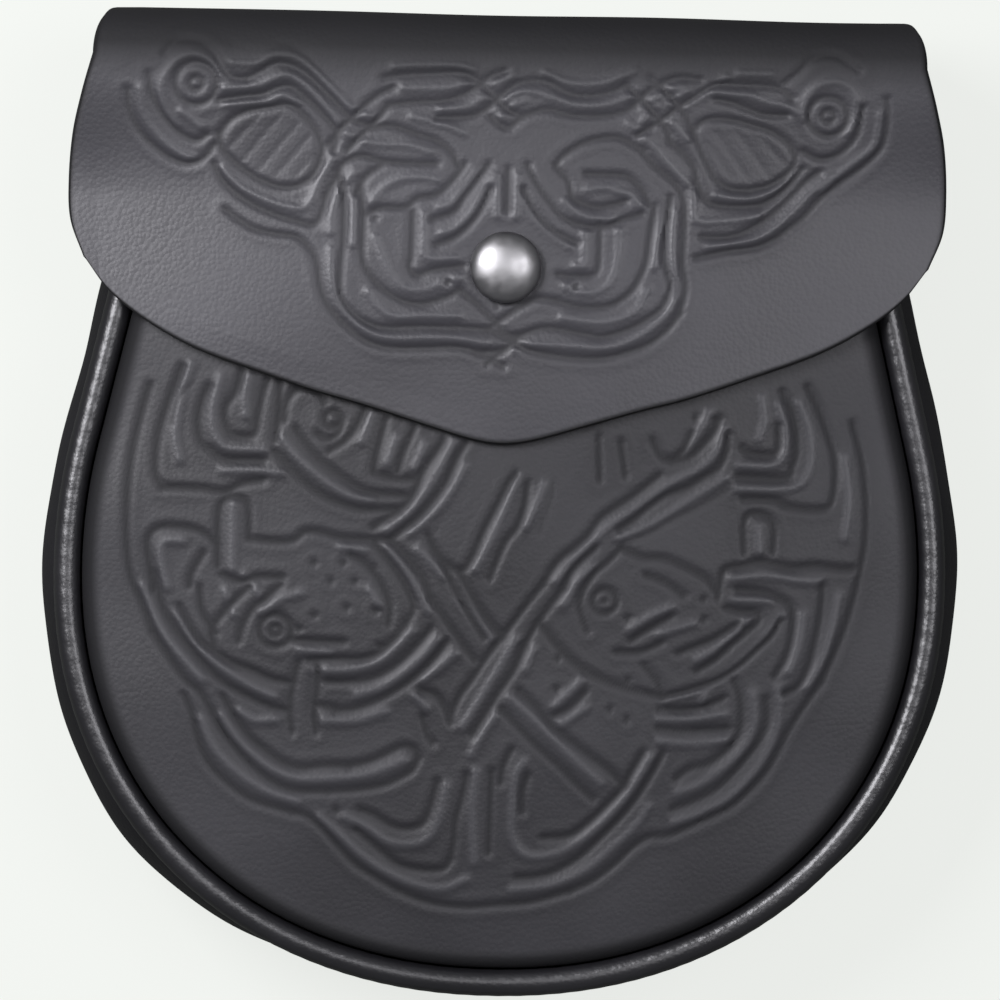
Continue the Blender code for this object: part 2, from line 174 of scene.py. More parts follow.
# Cells and rows of the pieces' grids
SEAM_SAMPLES = 481
SEAM_SIDES = 3
PATH_STEPS = 6
SHOULDER_LEVELS = 8
FRONT_INNER_CELLS = 96
HEM_ROWS = 7
HEM_ROW_STEP = 0.0011
BACK_RISE_ROWS = 5
REAR_FOLD_ROWS = 14
TOP_ROWS = 12
FRONT_FOLD_ROWS = 30
TONGUE_ROWS = 190
FLAP_INNER_COLUMNS = 80
FLAP_INNER_ROWS = 90
PIPING_STATIONS = 900
PIPING_ROUND = 18
GUSSET_STATIONS = 360
GUSSET_ROWS = 28
BACK_CELLS = 90
LOOP_COLUMNS = 22
LOOP_ROWS = 110
DOME_POINTS = 14
SNAP_TURNS = 72
SAME_PLACE = 1e-6

# Tooling: how the press, the swell beside it and the painted shade of the ground fall off from a line
LINE_REACH = 0.008
LINE_BLEND = 0.00022
GROUND_SHADE = 0.16
GROUND_REACH = 0.0042
SWELL_PLACE = 2.6
SWELL_SPREAD = 1.4
FAINT_PRESS = 0.36
FAINT_WIDTH = 0.8

# Slow waves of hand-worked leather: wave length, height and seed of each piece
FRONT_WAVES = (0.045, 0.00022, 5)
FLAP_WAVES = (0.050, 0.00020, 9)
BACK_WAVES = (0.05, 0.00018, 3)
WAVE_COUNT = 7
WAVE_STRETCH = (0.7, 1.6)
WAVE_EVENNESS = 3.0

# Where relief, waves and shade begin and end: shares of a panel, or places and widths on the flap
FRONT_EDGE_FADE = 0.05
BACK_EDGE_FADE = 0.15
# Painted shade on the front panel's shoulder beside the piping: where it starts, how far it grows, and how
# dark
PIPING_SHADE_START = 0.935
PIPING_SHADE_RUN = 0.025
PIPING_SHADE = 1.6
FRONT_PRESS = 1.1
FLAP_RELIEF_Z = 0.036
FLAP_RELIEF_RUN = 0.004
STUD_DENT = 0.0003
STUD_DENT_RADIUS = 0.010
FLAP_EDGE_FADE = 0.006
# Painted shade over the flap's top fold: heights and strengths, darkest on the roll
ROLL_SHADE = ((0.066, 0.0), (0.098, 0.3), (0.101, 0.34), (0.109, 1.6))
# Painted shadow beside the flap's cut edge: how far the dark edge mark reaches onto the face, in edge radii
CUT_EDGE_SHADE = 1.5

# The cord that shows through the piping's leather: depth of its marks, and its turns at each station
CORD_MARK = 0.008
CORD_TWIST = 0.84
CORD_DRIFT = 0.05

# Dyes of the pressed lines and painted shade, of the cut edges and the painted shadow beside them, and of the
# worn high spots and their painted highlight; and the finish of each leather
# Dye of the press mark: pressed leather in the lines, and painted shade in the lines, on the tooled ground,
# beside the piping and over the flap's fold
PRESS_AND_SHADE_DYE = (0.003, 0.003, 0.004, 1.0)
CUT_EDGE_AND_SHADOW_DYE = (0.003, 0.003, 0.003, 1.0)
# Lightens the raised cords, partly as rubbed dye and partly as a painted highlight
WORN_AND_HIGHLIGHT_DYE = (0.11, 0.11, 0.118, 1.0)
PORE_DEPTH = 0.0002
LEATHERS = {
    "Front leather": {"polish": 0.47, "pore": 0.0009, "bump": 0.20, "sheen": 0.44},
    "Flap leather": {"polish": 0.42, "pore": 0.0009, "bump": 0.20, "sheen": 0.55},
    "Piping leather": {"polish": 0.33, "pore": 0.0008, "bump": 0.18, "sheen": 0.9},
    "Gusset leather": {"polish": 0.52, "pore": 0.0010, "bump": 0.35, "sheen": 0.40},
    "Back leather": {"polish": 0.55, "pore": 0.0011, "bump": 0.4, "sheen": 0.5},
    "Loop leather": {"polish": 0.58, "pore": 0.0010, "bump": 0.4, "sheen": 0.5},
}

# Stage: lights are name, place, aim, size and energy
FLOOR_HALF_WIDTH = 3.0
FLOOR_Z = -0.0002
FLOOR_GLOW_COLOUR = (0.88, 0.90, 0.87, 1.0)
FLOOR_GLOW = 0.875
SKY_COLOUR = (0.93, 0.94, 1.0, 1.0)
SKY_STRENGTH = 0.16
LAMP_COLOUR = (0.965, 0.955, 1.0)
LIGHTS = (
    ("key light", (-0.38, 0.23, 0.62), (-0.02, 0.03, 0.03), 0.34, 5.2),
    ("top light", (0.60, 0.20, 1.34), (0.0, 0.0, 0.03), 0.6, 6.4),
    ("fill light", (0.0, 0.16, 1.80), (0.0, 0.06, 0.04), 0.5, 1.6),
)
SENSOR_WIDTH = 36.0
CAMERA_RANGE = 1.5
FRAME_WIDTH = 0.209
CAMERA_PLACE = (-0.0002, 0.0012, 1.533)
CAMERA_ROLL = 1.2

FOLD_END = FLAP_TOP - FRONT_FOLD_RADIUS
FLAP_DROP = FOLD_END - FLAP_TIP
HEM_LOW = BACK_TOP - GAP - HEM_LENGTH
CROWN_LOW = HEM_LOW - LOOP_FOOT - LOOP_RAMP - LOOP_CROWN - 2 * GAP
CROWN_HIGH = CROWN_LOW + LOOP_CROWN
BACK_LOW_Z = PIPING_RADIUS - LEATHER / 2
BACK_SLOPE = (LOOP_LEATHER + STRAP_GAP - BACK_LOW_Z) / (CROWN_LOW + BOTTOM_DEPTH)
PIVOT_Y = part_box("flap")[1].y - FLAP_TOP

# Tooled lines of the front panel, each from end to end
PANEL_LEFT_TOP = (
    ((-67, 42), (-69, 36.5), (-71.5, 28), (-72, 20), (-70.5, 16.7)),
    ((-61.3, 38), (-62.6, 35), (-63.4, 30.5), (-62.6, 26.3), (-60.7, 24.7), (-58.6, 23.1), (-56, 22.7),
     (-49.5, 22.7)),
    ((-54.5, 41), (-55.7, 37), (-57.8, 33), (-57, 29), (-55, 27.7), (-51.7, 28), (-50.9, 31.7),
     (-50, 36.5), (-49, 39.5)),
    ((-45.5, 31), (-45, 35), (-42.5, 37.8), (-39, 37.6), (-37, 35)),
    ((-46.4, 40), (-46.5, 34), (-47.2, 27)),
    ((-38.5, 28.5), (-36, 27.5), (-34, 29), (-33.3, 31.5)),
    ((-26.6, 20.6), (-22.6, 19.6), (-18.6, 19.4)),
    ((-28, 35), (-30.4, 30), (-32.8, 27), (-36, 25)),
    ((-43, 29.5), (-41.4, 27.4), (-38.8, 24.2), (-34.5, 20.7), (-30.2, 17.8), (-27, 16.5), (-20, 16)),
    ((-47.3, 24.7), (-44.7, 22), (-41.4, 18.8), (-37.7, 16), (-34, 14.3), (-29.6, 13), (-26, 12.9),
     (-21.6, 13.2)),
    ((-24.3, 31.7), (-26, 24.7), (-26.5, 21.5)),
    ((-18.4, 30), (-20.6, 24.7), (-21.6, 21)),
    ((-12.3, 27.7), (-14.1, 24.7), (-16.3, 21.3), (-18.4, 16.2), (-21, 13), (-24.3, 10.8), (-26.5, 9.2)),
    ((-7.4, 27.5), (-9.3, 24.2), (-11.7, 18.8), (-14.6, 14.5), (-17.3, 11.3), (-20.3, 8.9), (-22.7, 6.8)),
)
PANEL_LEFT_MIDDLE = (
    ((-70.6, 16.7), (-62.3, 16.6), (-57.5, 16.1), (-53.8, 17.8), (-49.5, 18.6)),
    ((-58.6, 0.5), (-58.8, 8), (-58.4, 13), (-56.6, 14.9), (-54.2, 14.9), (-52.5, 12.9), (-52.2, 6.5)),
    ((-72, -4.8), (-72.8, 0), (-73.4, 5.5), (-70.9, 8.4), (-65, 8.4), (-61.3, 7.2), (-58.8, 5)),
    ((-61.6, 3.3), (-64, -1), (-64.5, -3.8)),
    ((-52.2, 6.5), (-48, 6), (-43.2, 6.2), (-40.5, 8.1), (-37.2, 8.1), (-33.5, 7.1), (-28.7, 6.8),
     (-22.8, 6.8)),
    ((-15, 7.8), (-12.6, 3.8), (-10.5, 1.7), (-7.8, 0.6), (-5.5, 4), (-3.5, 9), (-1, 14), (1.5, 19),
     (3, 21)),
    ((-22.7, 6.8), (-19.5, 3.5), (-15.8, -1), (-14, -5)),
    ((-26, 6), (-22, 1), (-19, -3.5), (-17.8, -7.4), (-19.3, -10.8)),
    ((-73.6, 38), (-75.7, 30), (-77.2, 22), (-77.8, 14), (-77.8, 6), (-76.8, -2), (-74.4, -7.5),
     (-72, -13.4)),
    ((-72, -13.4), (-69.8, -16.7), (-67.2, -20.4), (-64.5, -23.6), (-61.6, -26), (-59.1, -30)),
    ((-72, -1), (-70.4, -7), (-68.2, -11.3), (-64.5, -16.1), (-60.7, -20.4), (-57, -23.6),
     (-53.2, -25.8), (-47.4, -28.4), (-43, -29.2)),
    ((-66.5, -8), (-62.4, -14.5), (-59, -17), (-55.5, -19.3), (-51, -21), (-46.5, -22.8), (-42.4, -23.4)),
    ((-45.5, -3), (-48.5, -6), (-51.2, -8.3), (-53, -11.5), (-54, -15)),
    ((-52, -3.5), (-56.5, -8.3), (-59.5, -12.5), (-59, -16)),
    ((-45, -1.5), (-50, -1.5), (-54, -2.5), (-58, -1)),
    ((-31, 3.4), (-27.4, 1.4), (-24.4, -2.4), (-22.6, -6.6), (-22.8, -11)),
    ((-62.4, -4), (-61.6, -9), (-58.8, -13.4)),
    ((-41.4, -19.2), (-42.4, -23.6), (-43, -29), (-42.4, -33.6)),
    ((-37.4, -19.4), (-37.4, -24), (-37.9, -29), (-37.4, -33.6)),
    ((-37.6, -27.8), (-33.5, -28.6)),
    ((-43, -14.5), (-32, -14.7)),
    ((-39.3, -18.6), (-34, -18.2), (-28, -18), (-24.5, -16.6), (-21.5, -13.8), (-19.3, -10.8)),
    ((-35.6, -23), (-31.9, -23), (-26.5, -22.2), (-22.2, -20.1), (-19, -17.4), (-16.4, -14.6),
     (-14, -11.6)),
    ((-33.5, -29), (-28.7, -28.2), (-23.8, -26.2), (-20.1, -24), (-16.4, -21.2), (-13.1, -17.7),
     (-10.5, -14.2)),
)
PANEL_LEFT_BOTTOM = (
    ((-16, -24.5), (-12.6, -25.5), (-10.5, -28.5), (-9.5, -31)),
    ((-15.3, -30), (-14.2, -33.8), (-13.1, -35.4)),
    ((-65, -26.4), (-63.4, -30.2), (-62.4, -34.3), (-60.8, -38.6), (-58.1, -42.3), (-54.3, -45.5),
     (-50.1, -48), (-42, -50.3)),
    ((-42, -50.3), (-38.8, -51.1), (-35.6, -53.8), (-32.4, -57.3), (-28.7, -61), (-24.4, -63.7),
     (-20.1, -66.1)),
    ((-20.1, -66.1), (-15.3, -68), (-10.5, -69), (-5.1, -69.3), (0, -68.8), (8, -68), (16.1, -65.6)),
    ((-59.1, -30), (-57, -33.8), (-53.2, -38.4), (-49.5, -41.8), (-45.8, -44.3), (-41.5, -45.8),
     (-34.6, -45.8)),
    ((-34.6, -45.8), (-28.7, -45.3), (-23.3, -44.3), (-19.6, -42.6), (-17.2, -41), (-16, -38.5)),
    ((-57, -26.4), (-54.9, -30), (-51.7, -34.3), (-47.9, -37.5), (-44.2, -39.9), (-40.4, -41),
     (-35.6, -40.4), (-30.3, -40.4)),
    ((-30.3, -40.4), (-26.5, -39.4), (-23.3, -38), (-19.6, -36.2), (-17, -36.6), (-16, -38.5)),
    ((-28.1, -49.5), (-24.9, -50.6), (-21.7, -52.5), (-18.5, -53.3), (-15.3, -52.5), (-13.7, -49.8),
     (-12, -43.4)),
    ((-28.7, -53.8), (-26, -56), (-22.8, -58.6), (-19.6, -60.8), (-14.8, -61.8), (-10.5, -61.5),
     (-8.9, -59.4)),
    ((-8.9, -59.4), (-8.3, -55.7), (-8, -51.5), (-6.7, -46), (-6, -41.8)),
    ((-0.8, -41), (-1, -58)),
    ((0.8, -13), (-2.5, -17.5), (-5.3, -22), (-8, -26), (-9.8, -30.5)),
    ((5.4, -15), (3.3, -20), (0.5, -24.3), (-2, -28.5), (-5, -33.5)),
)
PANEL_RIGHT_BOTTOM = (
    ((4.5, -24), (8, -27), (12, -31.5), (16, -34.5), (20, -37.5), (24, -40.5), (27, -43.5)),
    ((1, -28), (5, -32), (8.6, -35.5), (13.5, -39.8), (17.2, -43.4), (20.5, -46.3)),
    ((3.3, -36.4), (1.7, -39.7), (1.1, -43.4)),
    ((6.8, -41.8), (5.9, -45), (5.9, -49.3)),
    ((10.2, -54.6), (15.6, -54), (19.3, -51.4), (23, -47.7), (26.3, -44), (28.4, -40.2), (30.5, -36.5)),
    ((4.9, -63), (8.6, -62.7), (12.4, -61.7), (17.2, -59), (20.9, -55.7), (27.9, -48.2), (32.7, -40.7),
     (34.8, -36.5)),
    ((16.1, -65.6), (20.9, -63.2), (25.7, -59.4), (28.9, -56.2), (32.2, -54), (36.4, -53.5),
     (40.7, -51.6), (45, -49.5)),
    ((45, -49.5), (48.7, -47.6), (52.5, -44.4), (56.2, -40.2), (58.9, -35.4), (61, -31), (64.2, -25.8),
     (67.5, -21)),
    ((67.5, -21), (70.1, -15), (72.3, -9.1), (73.9, -3.2), (75, 2), (76, 8.6), (76, 16.7), (75, 25),
     (72.8, 33)),
    ((37, -48), (40.7, -46.6), (45, -44.4), (48.7, -41.3), (51.9, -37.5), (54.6, -33.8), (56.2, -29.5),
     (56, -24.7)),
    ((37.5, -41.8), (40.7, -39.4), (43.9, -38.6), (47.6, -35.9), (49.8, -33.3), (50.8, -30),
     (50.6, -24.7), (49.2, -21)),
    ((33.7, -27.3), (38.6, -27.3), (43.4, -26.5), (47.2, -24.7)),
    ((33.7, -31.3), (38.6, -31.7), (43.9, -31.3), (48.2, -31)),
    ((67.3, -1), (67, -6), (66, -12), (64.5, -18), (62.5, -22), (60, -23.5)),
    ((49.6, -2.2), (54.6, -2.5), (58.4, -3.8), (61, -6), (61, -11), (59.8, -16), (57.6, -20)),
    ((47.2, -6), (50.4, -6.7), (53.6, -6.8), (54, -8.6), (51.2, -11.4), (47.7, -14.5), (45.3, -16.9),
     (41.3, -19.3)),
    ((49.6, -9.4), (45, -12.4), (41.3, -14), (37.5, -15.6)),
    ((58.6, -8.4), (56.8, -11.6), (53.8, -14.6), (50.4, -17.8), (46, -20.8), (40.4, -23), (34.6, -24.6)),
    ((30.5, -18.2), (33.2, -21.4), (34.6, -24.6)),
    ((12, -29), (15, -27.5), (18.5, -24)),
)
PANEL_RIGHT_TOP = (
    ((-2, -1), (1, 6.5), (3.3, 9.7), (4.8, 14), (5.5, 19)),
    ((9.2, -1.8), (10.8, 1.2), (12.9, 3.8), (15.6, 6), (18.3, 8.7), (21, 12.4), (27.1, 16.7),
     (32.8, 21.3)),
    ((24.7, 9.8), (27.9, 12.1), (30.6, 14.5), (34.4, 17.2), (38.7, 18.9), (42.4, 21.3), (45.1, 23.1),
     (46.7, 26.4), (47, 30)),
    ((35.4, 24.2), (39.2, 25.3), (41.9, 27.9), (44, 30.6), (45.1, 33.3)),
    ((31.2, 28.5), (33.8, 24.7), (37, 25.8), (39.2, 30)),
    ((20, 29), (20.5, 20)),
    ((24.7, 28), (25.8, 21)),
    ((57.3, 32), (57.3, 27.4), (55.7, 26), (51.4, 26.3), (49.8, 27.4)),
    ((57.9, 39.2), (60, 35.5), (61.1, 31.2), (61.3, 26.4), (60.5, 23.7), (58.9, 21.3), (49.2, 21.3)),
    ((63.2, 40.3), (65.3, 36.5), (67.4, 31.2), (69.3, 24.8), (69, 17.3), (66.9, 15), (60, 15.3),
     (56.2, 16.7), (50.3, 16.7)),
    ((45.5, -4), (45.8, -2), (46.6, 1.7), (49.8, 2.7), (54.6, 3.8), (60.5, 2.7), (65.8, 3.2),
     (70.1, 2.7), (73.4, 2.6)),
    ((50.8, 5.6), (50.6, 11.6), (52, 13.6), (55, 13.4), (56.9, 11), (56.8, 5.8)),
)
PANEL_MIDDLE = (
    ((-8.2, 0.4), (-5.6, -4.2), (-2.6, -8.8), (1, -13)),
    ((-14.4, 6.6), (-11.4, 1.6), (-9, -3.4), (-6, -8.6), (-2.8, -13.4)),
    ((-14, -5), (-11, -9.6), (-7.4, -14.4), (-4.6, -18)),
    ((9.2, -1.8), (6, -6), (2.6, -10.6), (0.8, -13)),
    ((13.4, -2.6), (10.6, -6.4), (7.6, -10.8), (5.4, -15)),
    ((25.2, 6.1), (29.8, 4.3), (34.3, 4.1), (37.6, 2.8), (42.8, 0.2), (45.2, -2.6)),
    ((13.5, -2.4), (15.4, 1.5), (20, 6)),
    ((18.6, -11.4), (16.9, -6.6), (17.5, -3), (20, 0.9), (22.4, 3), (25.2, 6.1)),
    ((8.9, -10.2), (12.4, -14.6), (17, -18.8), (22.6, -21.6), (28.4, -23.4), (34.6, -24.6)),
    ((27.6, -13.2), (31.6, -10.6), (36, -8)),
    ((30.4, 0.6), (34.4, -0.8), (38.6, -3.6)),
    ((24.6, -15.6), (29.6, -15.4), (34, -13.6)),
)
PANEL_FAINT = (
    ((-65.3, 38), (-68, 34.3), (-69, 30)),
    ((-15, 7.5), (-13, 9.2)),
    ((8, 8.6), (10.5, 16), (10.8, 19.4)),
    ((23.1, 6.5), (30.1, 8.7), (35.4, 11.9), (40.8, 14.5), (44.5, 16.7), (46.7, 18.3)),
)
PANEL_DOTS = (
    (22, -5.1), (51.4, -10.6), (47.6, -14.9), (-38.3, -9.4), (-41.5, -12.2), (-35, -2.1),
    (-30, -2.1), (-32.5, 1.7), (-31.6, -7.6), (-25.6, -8.2), (-24.7, -15.4), (-26.1, 0.9),
    (-38.6, 1.6), (12.6, -17.2), (-32.9, -49.8), (23.6, -27.6), (27.1, -29.7), (27.1, -21.4),
    (26.8, -8.6), (12.4, -23.6), (40, 33.3), (44.6, 33), (42.6, -4.4), (42.8, -8.6),
)
PANEL_RINGS = ((-46.3, -12.6, 3.3), (-46.3, -12.6, 1.0), (22, -5.1, 2.5), (-35.4, 31.6, 1.6))

# Tooled lines of the flap
FLAP_LEFT = (
    ((-79.2, 99), (-78.8, 95.4), (-77, 91), (-73.5, 87.4), (-69.5, 84.8), (-66, 84), (-63, 85.4),
     (-61, 88)),
    ((-74.8, 102.4), (-74.2, 98.4), (-71.6, 93.6), (-68.2, 90.2), (-64.7, 88.8), (-62.6, 90)),
    ((-71.6, 106.6), (-69, 109.3), (-64.6, 109.3), (-61.4, 107.2), (-59.8, 104.5), (-57.7, 102.1),
     (-54.5, 101.8)),
    ((-54.5, 101.8), (-51.8, 103.1), (-48.6, 104.8), (-45.3, 104.5), (-41.6, 102.4), (-35.7, 97),
     (-32.5, 93.8), (-28.2, 92.2)),
    ((-60.4, 97.2), (-55, 98.1), (-51.3, 98.6), (-48, 100), (-45.4, 100.3), (-43, 98.6), (-40, 96),
     (-37.3, 93.3), (-35.7, 90.6), (-36.2, 87.4)),
    ((-59.9, 90.4), (-57.5, 93.3), (-54, 95), (-49, 96), (-45.4, 96.4), (-42.4, 94.2), (-39.8, 91.2),
     (-38.6, 88), (-39, 84.8)),
    ((-39, 84.8), (-40.6, 81.8), (-43.4, 79.9), (-46.8, 79.5), (-50.4, 80.5), (-54, 82.4), (-57.4, 85),
     (-59.6, 87.6), (-59.9, 90.4)),
    ((-61, 84), (-59.4, 80.9), (-57, 78.5), (-54.5, 76.7), (-51.3, 75), (-47, 73.4), (-43.2, 72.4),
     (-40, 71.8), (-38.4, 74.5), (-37.6, 77.7)),
    ((-37.6, 77.7), (-36, 80.9), (-34.1, 84.6), (-30.3, 86.2), (-26, 85.2), (-19.6, 84.9), (-14.8, 84.9)),
    ((-58.4, 74.6), (-55.2, 72.2), (-51.8, 70.5), (-47.5, 69.7), (-43.3, 69.1), (-40.5, 66.5),
     (-39.2, 63.8), (-38.4, 59), (-36.8, 55.2), (-33.6, 51.5)),
    ((-33.6, 51.5), (-29.3, 48.2), (-24, 46.6), (-17, 46.6), (-10, 46.9), (-5.7, 46), (0, 43.2)),
    ((-35.2, 83), (-34, 78.4), (-33.8, 70), (-34.3, 63), (-34.1, 57.4), (-31.4, 53.6), (-28.2, 51.5),
     (-24.5, 50.7), (-17.5, 51), (-10, 51)),
    ((-31.4, 78.5), (-29.4, 82), (-26, 84.6)),
    ((-30.4, 79.6), (-29.8, 74), (-29.8, 65.4), (-28.2, 61.8), (-25.2, 58.6), (-21.4, 56.4),
     (-17, 55.8), (-12.4, 57.2), (-9.4, 58.8)),
    ((-19.6, 74.9), (-19.7, 66), (-20, 63.2), (-18.2, 61.7), (-15.5, 62.8), (-11.1, 63.5), (-9, 63.8)),
    ((-15.4, 73.4), (-11, 75), (-9, 78), (-6.8, 81), (-4, 85)),
    ((-14.6, 68), (-10.4, 69.9), (-7.3, 72.9), (-5.2, 76.1), (-3.6, 80)),
    ((-29.4, 74.2), (-25.6, 75.6), (-21, 75.8), (-18.5, 77.7), (-14.5, 78.6), (-11.5, 81.5), (-9, 85)),
    ((-28.6, 92.1), (-24, 92.5), (-19, 91), (-14.5, 89.5), (-11.5, 87), (-10.4, 84.6)),
    ((-26, 102.4), (-21.8, 103.1), (-16.5, 103.4), (-10, 103.7), (-6.6, 102.2), (-3.4, 99.4),
     (-0.6, 96.6), (2.6, 95)),
    ((-25, 96.8), (-19.6, 97.6), (-13.8, 98), (-10, 99.1), (-6.8, 101), (-4, 103.2), (-1, 104.4)),
    ((-15, 94.4), (-11, 94.6), (-7.3, 95), (-4.6, 96.6), (-1.6, 99.4), (1.6, 101.8), (5.4, 102.6)),
    ((-4, 95), (-0.4, 92.6), (2.6, 95)),
    ((-37.4, 88.4), (-34.6, 92), (-31.2, 95.4), (-27.6, 98.6), (-24, 100.6)),
    ((-33.4, 87.4), (-30.4, 90.6), (-27, 94.2), (-25, 96.8)),
    ((0, 84), (0, 75.4)),
    ((-9.4, 58.8), (-5.8, 56), (-2.6, 53), (0.6, 49.8), (3.4, 49.6)),
    ((-3.4, 50.8), (0, 53.4), (3.8, 56), (7, 57.4), (10.6, 57)),
    ((-2, 56.6), (3, 56.6)),
    ((-3.6, 43.6), (0, 46.6)),
)
FLAP_RIGHT = (
    ((39.2, 66.5), (46.1, 68.1), (51.5, 68.9), (55.8, 70.8), (58.5, 72.9), (61.7, 75.6), (64.9, 79.3),
     (68.7, 82.5)),
    ((68.7, 82.5), (72.4, 85.2), (75.6, 87.9), (77.8, 91.1), (78.6, 95.9), (78.3, 100.2)),
    ((40.4, 70.9), (44.5, 70.9), (47.8, 71.5), (51.6, 73.4), (55.2, 76), (58.6, 79.4), (61.6, 82.6),
     (64.4, 84.8)),
    ((33.4, 90.6), (36.2, 88.2), (38.6, 85.2), (39.4, 82), (40.8, 79.3), (43.4, 77.5), (51.4, 77.6),
     (55.2, 79.2), (58.4, 82), (61, 85.4)),
    ((28, 87.9), (30.6, 85.2), (33.3, 83.1), (35.4, 80.9), (36.8, 77.2), (36.8, 70), (36.7, 65),
     (37.4, 60.4), (36.4, 55)),
    ((36.4, 55), (33.8, 51.5), (30.1, 48.5), (25.8, 46.7), (20.4, 45.3), (14, 45.3), (6, 46.4),
     (1.4, 48.4), (-3, 50.6), (-10, 51)),
    ((33.8, 79), (33, 72), (32.9, 66), (34.1, 60.6), (32.7, 56.3), (29.5, 53.6), (25.8, 51.5),
     (20.4, 49.8), (15.6, 50.4), (8.6, 51.3), (3.4, 49.6), (0, 46.6), (-5.7, 46)),
    ((30.6, 77), (29.7, 71), (29, 65.4), (27.3, 61.1), (25.2, 58.4), (21.5, 56.2), (15.6, 55.8),
     (10.6, 57)),
    ((19.3, 73), (19.2, 65), (18.2, 62.6), (14.5, 62.1), (10.8, 62.4)),
    ((16, 83.4), (21, 83.4), (24.7, 83.1), (27.9, 80.4), (29.6, 77.4)),
    ((14.8, 77.6), (18.4, 76.6), (22, 77.2), (24.6, 78)),
    ((9.8, 85), (11.3, 87), (14.5, 89.2), (18, 90.6), (23, 91), (28, 88.4)),
    ((9.8, 85), (12.4, 82), (13.2, 79), (14.8, 77.6)),
    ((4, 85), (6.2, 81), (8.8, 77.4), (11.6, 74.4), (15.6, 72.7), (20.4, 72.6), (24.7, 74.4), (28, 75.4)),
    ((3.4, 80), (5.2, 76.4), (8, 73), (11.4, 70.6), (14.6, 69)),
    ((5.4, 102.6), (8.6, 101.9), (11.9, 100.1), (16.1, 99.6), (20.4, 100.3), (24.2, 102)),
    ((2.6, 95), (7.6, 96.6), (12.9, 95.5), (19.3, 95.5), (23.6, 96.4), (25.8, 97.7)),
    ((25.8, 97.7), (29.4, 101.2), (34.6, 103.6), (39.6, 103.4)),
    ((26.6, 91.6), (30.6, 94.2), (34, 96.8), (38.4, 99.9), (42.6, 102.4), (48, 102.5), (55.6, 102.1),
     (58.6, 100)),
    ((24.2, 102), (27.4, 99.2), (30.6, 95.8), (33, 92.4), (33.4, 90.6)),
    ((29.2, 103.6), (32.8, 100.4), (36.2, 96.6), (38.2, 93)),
    ((43, 99.4), (46.2, 98.8), (49.4, 97.6), (53, 96.5), (57.6, 96.4)),
    ((38.2, 93), (41, 95.2), (45, 95.4), (50, 94.4), (54.4, 93), (58, 90.6), (59.6, 87.4), (57.8, 84.2),
     (54, 81.8), (50, 80.8)),
    ((50, 80.8), (46.4, 81), (43.4, 82.6), (41.6, 85.4), (40, 88.6), (38.2, 93)),
    ((73.4, 98.4), (72.2, 92.6), (68.8, 88.8), (64.6, 87.6), (61.2, 89)),
    ((72.4, 106), (67.5, 109), (63, 108.4), (60, 105.4), (57, 103)),
)
FLAP_HATCHING = (
    ((-57.8, 87.6), (-52, 94)),
    ((-55, 85), (-47.4, 94.4)),
    ((-51.8, 83), (-43.4, 93)),
    ((-48, 82), (-41, 90.4)),
    ((-44, 81.8), (-40.4, 86)),
    ((57.4, 86.4), (52.4, 91.8)),
    ((54.2, 83.8), (47.2, 93)),
    ((50.2, 82.8), (43.2, 92.4)),
    ((46.4, 83.4), (41.2, 90.4)),
    ((-57.5, 108.8), (-52, 107.8), (-47.6, 109.2), (-43.4, 107.8), (-39.4, 104.4), (-35, 100.4)),
)
FLAP_DOTS = ((-27.4, 73.4), (-12, 60.4), (14.6, 60), (-1.8, 55.6), (2.2, 55.6))
FLAP_RINGS = ((-65, 100.5, 4.3), (-65, 100.5, 1.3), (66.2, 96.4, 4.0), (66.2, 96.4, 1.2))

